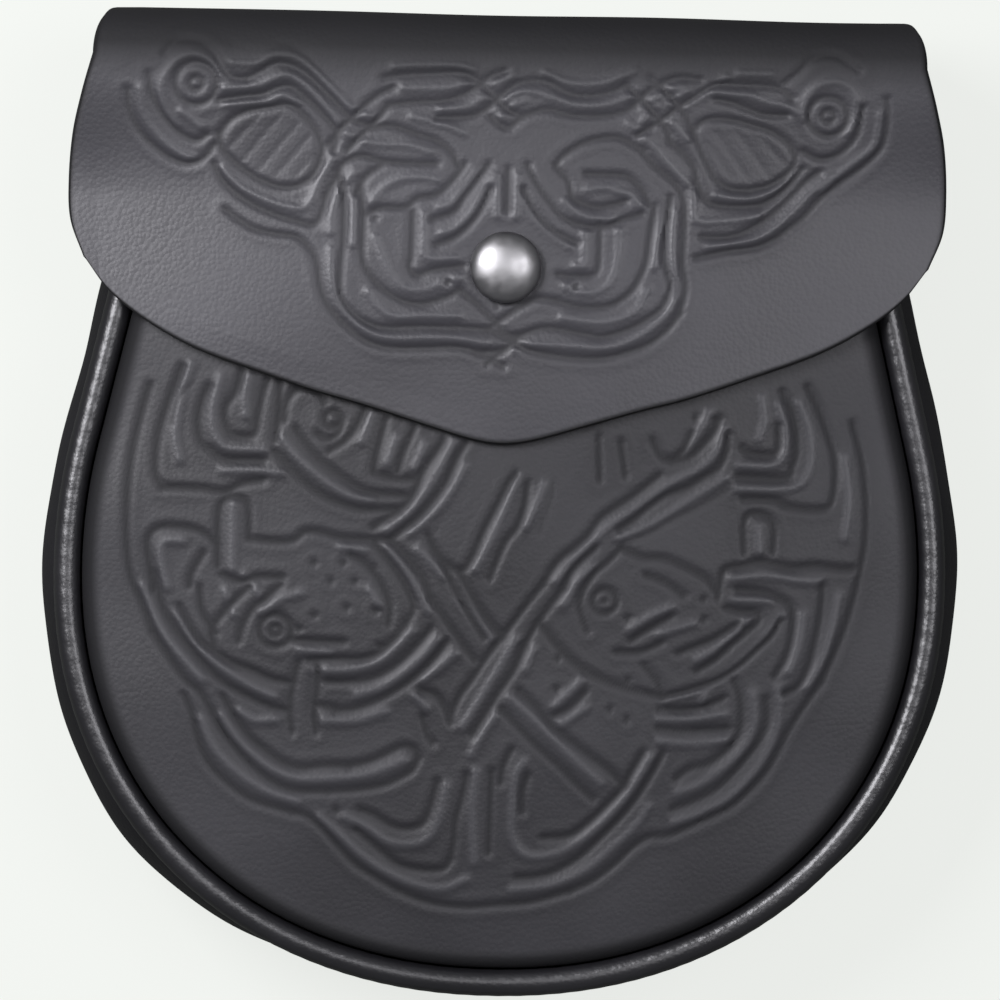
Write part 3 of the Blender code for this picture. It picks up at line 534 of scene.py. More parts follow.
# Raised cords of the interlace, between the tooled lines
PANEL_RAISED = (
    ((-65, 42.5), (-66.8, 36), (-68, 28), (-67, 22.5)),
    ((-58.8, 40), (-60.2, 34), (-60.2, 29.5), (-58.6, 26.2), (-56, 25), (-49.5, 25)),
    ((-53, 40), (-53.6, 35.5), (-53.5, 32)),
    ((-58, 20.3), (-52, 20.6), (-46, 20.2)),
    ((-46.3, 28), (-42.5, 23.6), (-38.6, 20.2), (-34.6, 17.4), (-31, 15.6), (-27.2, 15)),
    ((-55.6, 14), (-55.6, 0)),
    ((-66, 5.6), (-70, 5.2), (-70.4, 1), (-69, -4)),
    ((-27.2, 33), (-29, 27)),
    ((-22, 28), (-23.8, 22.6)),
    ((-16, 27), (-18, 22)),
    ((-10, 27.6), (-12.6, 22.4), (-15.4, 17.4), (-19, 12.6), (-23.4, 8.8)),
    ((-7.5, 22.5), (-10, 17.6), (-13.4, 13), (-18.6, 8.4)),
    ((3.4, 20.4), (1.4, 15), (-1, 9), (-3.2, 4.4), (-5, 1)),
    ((9, 19), (7.4, 14.4), (5.4, 10.2)),
    ((-23.5, 5), (-20, 1.2), (-17, -3.4), (-14.6, -8)),
    ((-17, 5), (-14, 2), (-11.6, -0.6)),
    ((-8.4, -5.4), (-5, -9.6), (-1.6, -13.4)),
    ((-74.2, -4), (-71.4, -10.6), (-68.8, -14.8), (-65, -19.2), (-61.4, -23)),
    ((-66.6, -9.6), (-63.6, -14.6), (-60, -18.4), (-55.4, -21.8), (-50.4, -24.6), (-46.6, -26.2)),
    ((-53.5, -29.6), (-50, -31.4), (-46, -31.2)),
    ((-38, -20.7), (-31, -20.5), (-25.6, -19), (-21.6, -15.8), (-18, -12)),
    ((-29, -25.6), (-24, -24), (-19.6, -21), (-15.4, -17.2), (-12.6, -13.6)),
    ((-36, -31.2), (-29, -31), (-23, -29)),
    ((-15.5, -22), (-12, -19.6), (-8.8, -16.6)),
    ((-17, -25.6), (-14.6, -28)),
    ((-61.4, -31.4), (-59.4, -36), (-56.4, -39.8), (-52, -43.4), (-47, -46.2), (-41, -48)),
    ((-57.2, -30.6), (-54.2, -35), (-50.4, -38.6), (-46, -41.6), (-40.8, -43.3), (-33, -43), (-26, -42),
     (-18.8, -39)),
    ((-30.8, -51.2), (-26.4, -53.2), (-22, -56), (-17, -56.6), (-13.2, -54.8), (-11.2, -50.4),
     (-10, -44)),
    ((-36.4, -51.4), (-32, -55), (-28, -58.6), (-23, -62), (-17, -64.6), (-10.6, -65.6), (-5.6, -63.6)),
    ((-4, -41), (-4.6, -50), (-4, -60)),
    ((3.8, -13.2), (0.9, -18.4), (-1.6, -22.6), (-4.4, -27.4), (-7, -31.8)),
    ((7.6, -15.2), (6, -19.6)),
    ((0, -29), (-2.6, -33), (-5, -37.6)),
    ((2.8, -25.6), (7.4, -29.6), (12.4, -34.4), (17.2, -39), (22, -43)),
    ((6, -38.6), (4.2, -42), (3.8, -48), (4, -55), (7, -58.4), (13, -57.8), (18.4, -54.8), (24, -49.6),
     (28.4, -44), (32.4, -37.2)),
    ((4, -65.6), (12, -64.4), (19, -61.2), (25, -56), (30, -51), (32, -47.6)),
    ((34, -33.9), (41, -34.4), (48, -33.4)),
    ((34, -29.4), (41, -29.2), (47.4, -28)),
    ((35, -25), (42, -23.2), (48, -19.6), (54, -14), (58.8, -7.4)),
    ((41.6, -16.8), (46.4, -13.6), (51.6, -8.4)),
    ((38, -44.6), (43, -42.4), (47.8, -39), (51.8, -34.8), (53.6, -29.8), (53.2, -23.4)),
    ((37.4, -50.8), (43, -48.8), (48.8, -45.4), (54, -39.8), (57.4, -34), (58.8, -27.6), (58.4, -22)),
    ((70.6, -3), (69.4, -10), (67.6, -16.4), (64.6, -22)),
    ((63.4, -7), (62.6, -13.4), (60.8, -19)),
    ((12, -1), (15.4, 3), (19.6, 7.6), (24, 11.6), (30, 15.6), (36, 20.2), (41.6, 23.2), (44.8, 27),
     (46, 31.4)),
    ((25, 8.2), (31, 11), (37, 14.8), (43, 18.6), (46.8, 21.2)),
    ((13.6, -6), (16, -1.4), (19.6, 2)),
    ((53.8, 38), (54.4, 33), (53.4, 29.4)),
    ((49.4, 23.8), (56, 23.8), (58.6, 26), (58.8, 31), (57.2, 36.4)),
    ((49, 18.9), (58, 18.9), (62.4, 20.2), (64.4, 24.6), (64, 31), (61.6, 37)),
    ((71.6, 9), (72.4, 17), (71.4, 26)),
    ((53.6, 11), (53.8, 6)),
    ((48.6, 0.2), (55, 0.9), (62, 0), (66.4, 0)),
    ((49, -4.2), (56.4, -4.2)),
    ((27.4, -10.8), (31.6, -8), (36, -6)),
    ((33.6, -11.6), (40.4, -9.4)),
    ((13.4, -31), (18.8, -27.2)),
    ((12.2, -27), (17.6, -21.6)),
    ((42.6, -27), (43, -24)),
    ((38.6, 27.8), (41.4, 31.4), (42.8, 35)),
    ((-53, -1.4), (-50, -5), (-49.6, -8.4)),
    ((-57, -4.6), (-55, -9.4)),
    ((-41, -4.6), (-45.8, -6.4), (-48.8, -9)),
    ((-41, -16.6), (-35, -17)),
    ((-27, -3.6), (-25, -6.6)),
    ((-33, 5), (-28, 4.6)),
)
FLAP_RAISED = (
    ((-76.5, 99.4), (-75.7, 94.3), (-72.7, 89.7), (-68.5, 86.3), (-65.2, 84.8)),
    ((-69.4, 91.8), (-71.6, 95.4), (-72.2, 99.4), (-71, 103), (-68.4, 105.8), (-65.2, 106.6),
     (-62, 105), (-60.2, 102)),
    ((-68, 94.6), (-63.9, 91.8)),
    ((-59.7, 99.6), (-55.9, 99.9), (-51.7, 100.6), (-48.3, 102.2), (-45.8, 102.6), (-42.8, 101),
     (-39.9, 98.4), (-37.2, 95.1)),
    ((-37.2, 95.1), (-34.8, 92), (-31.5, 89.7), (-27, 88.8), (-21, 88.6), (-16, 87.4)),
    ((-57.6, 105), (-52.5, 105), (-49, 106.8), (-45, 106.6), (-41.6, 104.6), (-37.4, 100.4),
     (-33.2, 96.4), (-28.1, 94.2)),
    ((-58.4, 96.4), (-54.2, 96.7), (-50, 97), (-47, 98.4), (-44.4, 97)),
    ((-59.3, 82.9), (-55.1, 79.2), (-50.8, 77.2), (-46.6, 75.8), (-42.4, 75.3), (-40.4, 77.4),
     (-39.1, 80.8), (-36.4, 85.6)),
    ((-36.5, 70.4), (-36.1, 75), (-34.4, 79.6), (-31.6, 83)),
    ((-31.8, 78.8), (-31.8, 68)),
    ((-36.4, 66.6), (-36, 61), (-34, 56.2), (-31, 52.4), (-27.2, 49.4), (-22, 48.6), (-15, 48.9),
     (-8.7, 48.7), (-4, 48)),
    ((-28.4, 58), (-26, 54.8), (-22.6, 53.2), (-17, 53.4), (-9.6, 53.6)),
    ((-27, 69.4), (-25.8, 66), (-23.8, 62.4), (-21, 59.2), (-17, 58.8), (-13, 60.2), (-9.6, 61.4)),
    ((-28.1, 76.8), (-25.6, 79.8), (-22.2, 81.6), (-18, 82), (-14.6, 81.7)),
    ((-17.2, 74.4), (-16.9, 69.9), (-16.5, 65.6), (-10.8, 65.5)),
    ((-13.8, 75.9), (-11.3, 77), (-8.2, 80), (-6, 83.2)),
    ((-13.4, 70.6), (-10.4, 71.8), (-7.3, 74.6), (-5, 78.4), (-3, 82)),
    ((-2.2, 82.6), (-2, 74.4)),
    ((2.2, 82.6), (2, 74.4)),
    ((5.2, 83.6), (7.4, 79.6), (10, 76), (12.6, 74)),
    ((3.9, 77.9), (6, 74.4), (9.2, 71.8)),
    ((-23.9, 105), (-18, 105.4), (-11.3, 105.4), (-7.6, 104.6)),
    ((-22, 100.4), (-13, 100.8), (-9.4, 101.6)),
    ((-14, 96.2), (-9, 96.8), (-6, 98.4), (-4.6, 99.4)),
    ((-2.6, 101.8), (0.6, 103.6)),
    ((28.2, 97.2), (31.4, 100.4), (35.6, 101.8)),
    ((30.4, 97.6), (27.6, 94.6)),
    ((33.4, 98.4), (36.4, 101)),
    ((34.2, 94.2), (37, 91.2)),
    ((-20, 94.6), (-14, 93.2), (-9.4, 91.4)),
    ((7.4, 104.2), (12, 102.4), (19, 102.4), (25.8, 105)),
    ((-2, 97.4), (0.6, 99.6), (4.4, 100.2), (9.8, 98.9), (13.2, 97.8), (18.2, 97.6), (22.4, 98.6),
     (26.4, 100.6)),
    ((-1.6, 94.6), (1, 97.4), (3.4, 98.6)),
    ((25, 94), (29.6, 90), (32.5, 86.9), (35.2, 84), (37.1, 82)),
    ((38.6, 80), (38.8, 75.4), (40.2, 74.2), (46, 74.4), (51.9, 75.4)),
    ((16.5, 80.2), (20.7, 80.6), (24.9, 79.4), (27.5, 77.2)),
    ((11.9, 77.6), (14.8, 75.2), (18.2, 74.2), (22, 74)),
    ((61, 96), (61.8, 100.4), (64.4, 103), (68, 103.6), (71, 102), (72.4, 98), (70.6, 93.4)),
    ((77, 97), (76.2, 91), (72.8, 87.8), (69, 84.8), (65.4, 81.4)),
    ((41.6, 101), (45.4, 100.6), (49.4, 100.4), (53.4, 99.2), (57, 98.4), (60.6, 96.8)),
    ((47.6, 105), (54.4, 105)),
    ((16.2, 72), (16.2, 65), (14.6, 64.4)),
    ((23.4, 71.6), (23, 65.4), (21.4, 60.6), (17, 58.8), (12.4, 60)),
    ((34.6, 76), (34.4, 70), (34.8, 64), (34, 59)),
    ((35, 57.6), (33.2, 54.6), (29.8, 51.4), (25, 48.6), (19.8, 47.5), (14, 47.8), (7, 47.9), (2, 47)),
    ((29.4, 59.6), (27.6, 56), (24.2, 53.8), (19, 52.8), (12, 53.6)),
    ((31, 94.2), (36, 98), (41, 101), (45, 104)),
    ((42, 68.9), (50, 70.2), (54.6, 72.4), (59, 76.4), (63, 80.6), (67, 84)),
    ((43.4, 79.6), (47, 79), (51, 79.2), (55.4, 81), (59, 84.4)),
    ((10.4, 71.6), (13.4, 68.6)),
    ((30.8, 64.6), (31.4, 69.6), (33, 74)),
)


def between(a, b, share):
    return a + (b - a) * share


def smooth_table(rows, at):
    """Reads a two-column table at an array of values of its first column, on a Catmull-Rom curve."""
    table = np.array(rows)
    known, values = table[:, 0], table[:, 1]
    slopes = np.gradient(values, known)
    slopes[1:-1] = (values[2:] - values[:-2]) / (known[2:] - known[:-2])
    low = np.clip(np.searchsorted(known, at, side="right") - 1, 0, len(known) - 2)
    span = known[low + 1] - known[low]
    share = np.clip((at - known[low]) / span, 0.0, 1.0)
    square, cube = share**2, share**3
    return (
        (2 * cube - 3 * square + 1) * values[low]
        + (cube - 2 * square + share) * slopes[low] * span
        + (3 * square - 2 * cube) * values[low + 1]
        + (cube - square) * slopes[low + 1] * span
    )


def smooth_path(points):
    """A Catmull-Rom curve through points given in millimetres, as places in metres."""
    places = np.array(points, float) * 0.001
    if len(places) == 2:
        return places
    ends = np.vstack([2 * places[0] - places[1], places, 2 * places[-1] - places[-2]])
    curve = []
    for before, start, end, after in zip(ends, ends[1:], ends[2:], ends[3:]):
        for share in np.arange(PATH_STEPS) / PATH_STEPS:
            square, cube = share**2, share**3
            curve.append(
                start
                + 0.5 * (end - before) * share
                + 0.5 * (2 * before - 5 * start + 4 * end - after) * square
                + 0.5 * (3 * start - before - 3 * end + after) * cube
            )
    return np.vstack(curve + [places[-1]])


def seam_half_width(height):
    bent = SEAM_HALF_WIDTH - SIDE_LEAN * height**2 / (2 * BELLY_BEND)
    straight = SEAM_HALF_WIDTH - SIDE_LEAN * (height - BELLY_BEND / 2)
    return np.where(height < BELLY_BEND, bent, straight)


def back_face(height):
    """Z of the back panel's outer face."""
    return BACK_LOW_Z + BACK_SLOPE * (height + BOTTOM_DEPTH)


def front_seam_z(height):
    return height * 0 + FRONT_SEAM_Z


def rear_seam_z(height):
    return back_face(height) + LEATHER / 2


def front_face_height(height):
    """Z of the front panel's face on the centre line."""
    shoulder_top = FRONT_TOP - PIPING_RADIUS - GAP - SHOULDER_WIDTH
    return FRONT_SEAM_Z + SHOULDER_RISE + CROWN_RISE * (1 - (height / shoulder_top) ** 2)


def seam_line(top, stations):
    """(places, outward directions) from the top right round the bottom to the top left, evenly spaced."""
    turn = np.linspace(0.0, math.pi / 2, SEAM_SAMPLES)
    across = SEAM_HALF_WIDTH * np.sin(turn) ** (2 / BOTTOM_POWER)
    down = -BOTTOM_DEPTH * np.maximum(np.cos(turn), 0.0) ** (2 / BOTTOM_POWER)
    heights = np.linspace(0.0, top, SEAM_SAMPLES)[1:]
    across = np.concatenate([across, seam_half_width(heights)])
    up = np.concatenate([down, heights])
    travelled = np.concatenate([[0.0], np.cumsum(np.hypot(np.diff(across), np.diff(up)))])
    goals = np.linspace(0.0, travelled[-1], stations // 2 + 1)
    right = np.column_stack([np.interp(goals, travelled, across), np.interp(goals, travelled, up)])
    places = np.vstack([right[::-1], right[1:] * (-1, 1)])
    along = np.gradient(places, axis=0)
    outward = np.column_stack([-along[:, 1], along[:, 0]])
    return places, outward / np.linalg.norm(outward, axis=1)[:, None]


def panel_outline(inset, top, cells):
    """Closed outline, clockwise from the top left, at an inset from the seam and from the top edge.

    The seam takes three sides of the square that the panel's grid is made from, and the top edge the fourth.
    """
    places, outward = seam_line(top, SEAM_SIDES * cells)
    sides = places - outward * inset
    sides[:, 1] = np.minimum(sides[:, 1], top - inset)
    sides[(0, -1), 1] = top - inset
    shares = np.linspace(0.0, 1.0, cells, endpoint=False)[:, None]
    return np.vstack([between(sides[-1], sides[0], shares), sides[:-1]])


def read_outline(outline, turn):
    """Places on a closed outline at shares of the way round it."""
    count = len(outline)
    step = turn * count
    low = np.floor(step).astype(int)
    share = (step - low)[:, None]
    return between(outline[low % count], outline[(low + 1) % count], share)


def square_rings(u, v):
    """(ring, turn) of points of the square: how far out each is, and its share of the way round."""
    ring = np.maximum(np.abs(u), np.abs(v))
    a = u / np.maximum(ring, 1e-9)
    b = v / np.maximum(ring, 1e-9)
    choices = [b > 1 - 1e-6, a > 1 - 1e-6, b < -1 + 1e-6]
    turns = [(a + 1) / 8, 0.25 + (1 - b) / 8, 0.5 + (1 - a) / 8]
    return ring, np.select(choices, turns, (0.75 + (b + 1) / 8) % 1.0)


def panel_places(u, v, top, cells, shoulder):
    """Places on the front panel's face; without a shoulder, on a flat sheet of the same outline."""
    ring, turn = square_rings(u, v)
    levels = [
        panel_outline(PIPING_RADIUS + GAP + SHOULDER_WIDTH * k / SHOULDER_LEVELS, top, cells)
        for k in range(SHOULDER_LEVELS + 1)
    ]
    if not shoulder:
        spots = read_outline(levels[0], turn) * ring[:, None]
        return np.column_stack([spots, np.zeros(len(u))])
    share = np.minimum(ring / CROWN_SHARE, 1.0)
    beyond = np.sin(math.pi / 2 * np.clip((ring - CROWN_SHARE) / (1 - CROWN_SHARE), 0.0, 1.0))
    level = (1 - beyond) * SHOULDER_LEVELS
    low = np.minimum(np.floor(level).astype(int), SHOULDER_LEVELS - 1)
    spots = np.zeros((len(u), 2))
    for k in range(SHOULDER_LEVELS):
        here = low == k
        near = read_outline(levels[k], turn[here])
        far = read_outline(levels[k + 1], turn[here])
        spots[here] = between(near, far, (level[here] - k)[:, None])
    spots *= share[:, None]
    crown = SHOULDER_RISE + CROWN_RISE * (1 - share**2)
    rolled = -SHOULDER_DIP + (SHOULDER_RISE + SHOULDER_DIP) * np.sqrt(1 - beyond**2)
    return np.column_stack([spots, FRONT_SEAM_Z + np.where(share < 1.0, crown, rolled)])


def flap_face(drop):
    """Z of the flap's outer face on the centre line."""
    at_stud = front_face_height(STUD_HEIGHT_ON_FRONT) + SNAP_STACK + LEATHER
    at_tip = front_face_height(FLAP_TIP) + FLAP_TIP_GAP + LEATHER
    stud_drop = (FOLD_END - STUD_HEIGHT_ON_FRONT) / FLAP_DROP
    return between(at_stud, at_tip, (np.maximum(drop - stud_drop, 0.0) / (1 - stud_drop)) ** 2)


def hem_half_width():
    return float(seam_half_width(FRONT_TOP)) - PIPING_RADIUS - GAP - HEM_INSET


def behind_back(height, leather):
    """Z of the outer face of leather that lies on the back."""
    return back_face(height) - GAP - leather


def flap_back_rows():
    """(height, z, half width) of the flap from the hem on the back, over the top, to the front fold."""
    fold_half = FLAP_HALF_WIDTH * FLAP_SIDE[0][1]
    rear = FLAP_TOP - REAR_FOLD_RADIUS
    rear_z = behind_back(rear, LEATHER)
    top_end = float(flap_face(0.0)) - FRONT_FOLD_RADIUS
    start, rear_end, front_start, end = FLAP_WIDENING
    rows = []
    for height in np.linspace(HEM_LOW, FRONT_TOP + GAP, HEM_ROWS):
        rows.append((height, behind_back(height, LEATHER), 0.0))
    for share in np.linspace(0.0, 1.0, BACK_RISE_ROWS)[1:-1]:
        height = between(FRONT_TOP + GAP, rear, share)
        rows.append((height, behind_back(height, LEATHER), start * share))
    for share in np.linspace(0.0, 1.0, REAR_FOLD_ROWS, endpoint=False):
        turn = share * math.pi / 2
        height = rear + REAR_FOLD_RADIUS * math.sin(turn)
        z = rear_z + REAR_FOLD_RADIUS * (1 - math.cos(turn))
        rows.append((height, z, between(start, rear_end, share)))
    for share in np.linspace(0.0, 1.0, TOP_ROWS, endpoint=False):
        z = between(rear_z + REAR_FOLD_RADIUS, top_end, share)
        rows.append((FLAP_TOP, z, between(rear_end, front_start, share)))
    for share in np.linspace(0.0, 1.0, FRONT_FOLD_ROWS, endpoint=False):
        turn = share * math.pi / 2
        height = FLAP_TOP - FRONT_FOLD_RADIUS * (1 - math.cos(turn))
        z = top_end + FRONT_FOLD_RADIUS * math.sin(turn)
        rows.append((height, z, between(front_start, end, math.sin(turn))))
    rows = np.array(rows)
    rows[:, 2] = between(hem_half_width(), fold_half, rows[:, 2])
    return rows


def flap_places(u, travel):
    """(places, distance to the cut edge) at shares across the flap and along it."""
    behind = flap_back_rows()
    row = travel * (len(behind) + TONGUE_ROWS)
    share = np.clip((row - len(behind)) / TONGUE_ROWS, 0.0, 1.0)
    half = FLAP_HALF_WIDTH * smooth_table(FLAP_SIDE, share * FLAP_SIDE[-1][0])
    from_tip = np.minimum(np.hypot(u, TIP_ROUNDING), 1.0) * FLAP_EDGE[-1][0]
    lift = RIGHT_EDGE_LIFT * np.clip((u - RIGHT_LIFT_START) / RIGHT_LIFT_RUN, 0.0, 1.0)
    lowest = smooth_table(FLAP_EDGE, from_tip) - lift
    drop = share * lowest
    height = FOLD_END - FLAP_DROP * drop
    face = flap_face(drop)
    below = np.clip((FOLD_END - height) / FLAP_DROOP_RUN, 0.0, 1.0)
    eased = below * below * (3 - 2 * below)
    at_seam = face - LEATHER - FRONT_SEAM_Z - PIPING_RADIUS - FLAP_SIDE_GAP
    droop = at_seam * eased * (u * half / seam_half_width(height)) ** 2
    tongue = np.column_stack([u * half, height, face - droop])
    rows = np.vstack([behind, [FOLD_END, float(flap_face(0.0)), FLAP_HALF_WIDTH * FLAP_SIDE[0][1]]])
    steps = np.arange(len(rows))
    back_half = np.interp(row, steps, rows[:, 2])
    back_height, back_z = np.interp(row, steps, rows[:, 0]), np.interp(row, steps, rows[:, 1])
    back = np.column_stack([u * back_half, back_height, back_z])
    on_tongue = row >= len(behind)
    places = np.where(on_tongue[:, None], tongue, back)
    to_side = (1 - np.abs(u)) * np.where(on_tongue, half, back_half)
    far = 1.0
    to_tip = np.where(on_tongue, (1 - share) * FLAP_DROP * lowest, far)
    to_hem = np.where(row < HEM_ROWS + 1, row * HEM_ROW_STEP, far)
    return places, np.minimum(np.minimum(to_side, to_tip), to_hem)


def line_distance(places, path):
    """Distance from each place to a path, up to the reach of a line."""
    low, high = path.min(axis=0) - LINE_REACH, path.max(axis=0) + LINE_REACH
    near = np.all((places > low) & (places < high), axis=1)
    nearby = places[near]
    best = np.full(len(nearby), LINE_REACH)
    for start, end in zip(path, path[1:]):
        along = end - start
        share = np.clip((nearby - start) @ along / max(along @ along, 1e-12), 0.0, 1.0)
        best = np.minimum(best, np.linalg.norm(nearby - start - share[:, None] * along, axis=1))
    distances = np.full(len(places), LINE_REACH)
    distances[near] = best
    return distances


def nearest_line(places, lines, dots=(), rings=()):
    """Distance from each place to the nearest tooled line, rounded off where two lines meet."""
    paths = [smooth_path(line) for line in lines]
    paths += [np.array([dot, dot]) * 0.001 for dot in dots]
    for x, y, radius in rings:
        turn = np.linspace(0.0, 2 * math.pi, 25)
        paths.append(np.column_stack([x + radius * np.cos(turn), y + radius * np.sin(turn)]) * 0.001)
    total = np.zeros(len(places))
    for path in paths:
        total += np.exp(-line_distance(places, path) / LINE_BLEND)
    return np.clip(-LINE_BLEND * np.log(np.maximum(total, 1e-12)), 0.0, LINE_REACH)


def tooling(places, sizes, lines, faint, dots, rings, raised):
    """(height, press and shade, rise) of the relief: pressed lines, the swell beside them, and raised cords;
    the press mark darkens the lines partly as pressed leather and partly as painted shade, and paints shade
    on the ground near them.
    """
    width = sizes.line_half_width
    distance = nearest_line(places, lines, dots, rings)
    press_and_shade = np.exp(-((distance / width) ** 2))
    ground = GROUND_SHADE * np.exp(-((distance / GROUND_REACH) ** 2))
    swell = np.exp(-(((distance - SWELL_PLACE * width) / (SWELL_SPREAD * width)) ** 2))
    soft = np.exp(-((nearest_line(places, faint) / (FAINT_WIDTH * width)) ** 2))
    press_and_shade = np.maximum(press_and_shade, FAINT_PRESS * soft)
    rise = np.exp(-((nearest_line(places, raised) / sizes.cord_half_width) ** 2)) * (1 - press_and_shade)
    height = sizes.swell_height * swell + sizes.cord_height * rise - sizes.line_depth * press_and_shade
    # The press mark takes painted shade on the tooled ground near the lines
    return height, np.maximum(press_and_shade, ground * (1 - rise)), rise


def slow_waves(places, length, height, seed):
    """Gentle unevenness of hand-worked leather, as a sum of a few crossing waves."""
    chance = np.random.default_rng(seed)
    total = np.zeros(len(places))
    for _ in range(WAVE_COUNT):
        direction = chance.uniform(0, 2 * math.pi)
        stretch = chance.uniform(*WAVE_STRETCH) * length
        phase = chance.uniform(0, 2 * math.pi)
        along = places[:, 0] * math.cos(direction) + places[:, 1] * math.sin(direction)
        total += np.sin(along * 2 * math.pi / stretch + phase)
    return height * total / WAVE_EVENNESS


def new_shape(*names):
    """An empty shape and the layers of named values that its vertices carry for their finish."""
    shape = bmesh.new()
    return shape, [shape.verts.layers.float.new(name) for name in names]


def add_grid(shape, columns, rows):
    """Adds a flat grid from -1 to 1 to a shape, and returns its vertices and their two shares."""
    verts = bmesh.ops.create_grid(shape, x_segments=columns, y_segments=rows, size=1.0)["verts"]
    flat = np.array([vert.co[:] for vert in verts])
    return verts, flat[:, 0], flat[:, 1]


def set_places(verts, places):
    for vert, place in zip(verts, places.tolist()):
        vert.co = (place[0], place[1] + PIVOT_Y, place[2])


def get_normals(shape, verts):
    """Normals of the vertices, turned so that the first of the highest ones has its normal upwards."""
    shape.normal_update()
    normals = np.array([vert.normal[:] for vert in verts])
    highest = int(np.argmax([vert.co.z for vert in verts]))
    return normals * (1.0 if normals[highest, 2] > 0 else -1.0)


def set_face(shape, verts, places, height):
    """Moves vertices to their places, and from there along their normals."""
    set_places(verts, places)
    set_places(verts, places + get_normals(shape, verts) * height)


def add_seam_grid(shape, stations, rows):
    """Adds a grid along the seam: (vertices, station, share across, seam place, outward direction)."""
    verts, u, v = add_grid(shape, stations, rows)
    station = np.round((u + 1) / 2 * stations).astype(int)
    line, outward = seam_line(FRONT_TOP, stations)
    return verts, station, v, line[station], outward[station]


def mark(verts, layer, values):
    for vert, value in zip(verts, values.tolist()):
        vert[layer] = value


def close_sheet(shape):
    """Joins the two open sheets of a shape along their rims, and points every face outwards."""
    rims = [edge for edge in shape.edges if edge.is_boundary]
    bmesh.ops.bridge_loops(shape, edges=rims)
    bmesh.ops.recalc_face_normals(shape, faces=shape.faces)


def rounded_edge(distance, radius):
    """How far a face drops beside its cut edge, on a quarter round."""
    inside = np.clip((radius - distance) / radius, 0.0, 1.0)
    return radius * (1 - np.sqrt(1 - inside**2))


def finished_piece(name, shape, finish, nodes=()):
    """Turns a shape into a piece that rides on the pouch, in place of the named solids of the model."""
    mesh = bpy.data.meshes.new(name)
    shape.to_mesh(mesh)
    shape.free()
    mesh.shade_smooth()
    mesh.set_sharp_from_angle(angle=math.radians(38))
    mesh.materials.append(finish)
    piece = bpy.data.objects.new(name, mesh)
    bpy.context.scene.collection.objects.link(piece)
    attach(piece, "root")
    if nodes:
        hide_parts(*nodes)
    return piece


def add_wall(piece, depth):
    """Gives an open sheet its thickness, half of it to either side."""
    wall = piece.modifiers.new("Leather", "SOLIDIFY")
    wall.thickness = depth
    wall.offset = 0.0
    wall.use_even_offset = True


def add_bevel(piece):
    bevel = piece.modifiers.new("Burnished edge", "BEVEL")
    bevel.width = 0.0005
    bevel.segments = 3
    bevel.limit_method = "ANGLE"
    bevel.angle_limit = math.radians(40)


# Materials


def feed(tree, node, feeds):
    """Feeds a node's inputs with values or with other nodes' outputs."""
    for key, value in feeds.items():
        if isinstance(value, bpy.types.NodeSocket):
            tree.links.new(value, node.inputs[key])
        else:
            node.inputs[key].default_value = value


def add(tree, kind, feeds=None, **settings):
    """Adds a node, sets it and feeds its inputs."""
    node = tree.nodes.new(kind)
    for key, value in settings.items():
        setattr(node, key, value)
    feed(tree, node, feeds or {})
    return node


def new_group(name, inputs, outputs):
    group = bpy.data.node_groups.new(name, "ShaderNodeTree")
    for label, kind, value in inputs:
        socket = group.interface.new_socket(name=label, in_out="INPUT", socket_type="NodeSocket" + kind)
        if value is not None:
            socket.default_value = value
    for label, kind in outputs:
        group.interface.new_socket(name=label, in_out="OUTPUT", socket_type="NodeSocket" + kind)
    return group, group.nodes.new("NodeGroupInput").outputs, group.nodes.new("NodeGroupOutput").inputs


def placed_group(tree, name, make, feeds):
    """Outputs of a shared node group, placed in a material and made for the first one that asks for it."""
    group = bpy.data.node_groups.get(name) or make()
    return add(tree, "ShaderNodeGroup", feeds, node_tree=group).outputs


def mix_colours(tree, factor, first, second):
    feeds = {0: factor, 6: first, 7: second}
    return add(tree, "ShaderNodeMix", feeds, data_type="RGBA", blend_type="MIX").outputs[2]


def maths(tree, operation, first, second, clamp=False):
    return add(tree, "ShaderNodeMath", {0: first, 1: second}, operation=operation, use_clamp=clamp).outputs[0]


def noise(tree, vector, scale, detail):
    return add(tree, "ShaderNodeTexNoise", {"Vector": vector, "Scale": scale, "Detail": detail}).outputs[0]


def spread(tree, value, low, high):
    """Stretches the middle of a noise over a range."""
    feeds = {"Value": value, "From Min": 0.3, "From Max": 0.7, "To Min": low, "To Max": high}
    return add(tree, "ShaderNodeMapRange", feeds).outputs[0]


def bumps(tree, height, strength, distance):
    feeds = {"Strength": strength, "Distance": distance, "Height": height}
    return add(tree, "ShaderNodeBump", feeds).outputs[0]


def leather_grain_group():
    """Fine pores and creases of calf leather, as a height."""
    group, given, made = new_group(
        "Leather grain", (("Vector", "Vector", None), ("Pore size", "Float", 0.0008)), (("Height", "Float"),)
    )
    scale = maths(group, "DIVIDE", 1.0, given["Pore size"])
    cells = add(group, "ShaderNodeTexVoronoi", {"Vector": given["Vector"], "Scale": scale}).outputs[0]
    pores = maths(group, "SUBTRACT", 1.0, cells, clamp=True)
    creases = noise(group, given["Vector"], scale=maths(group, "MULTIPLY", scale, 0.3), detail=2.0)
    height = maths(group, "ADD", pores, maths(group, "MULTIPLY", creases, 0.4))
    group.links.new(height, made["Height"])
    return group


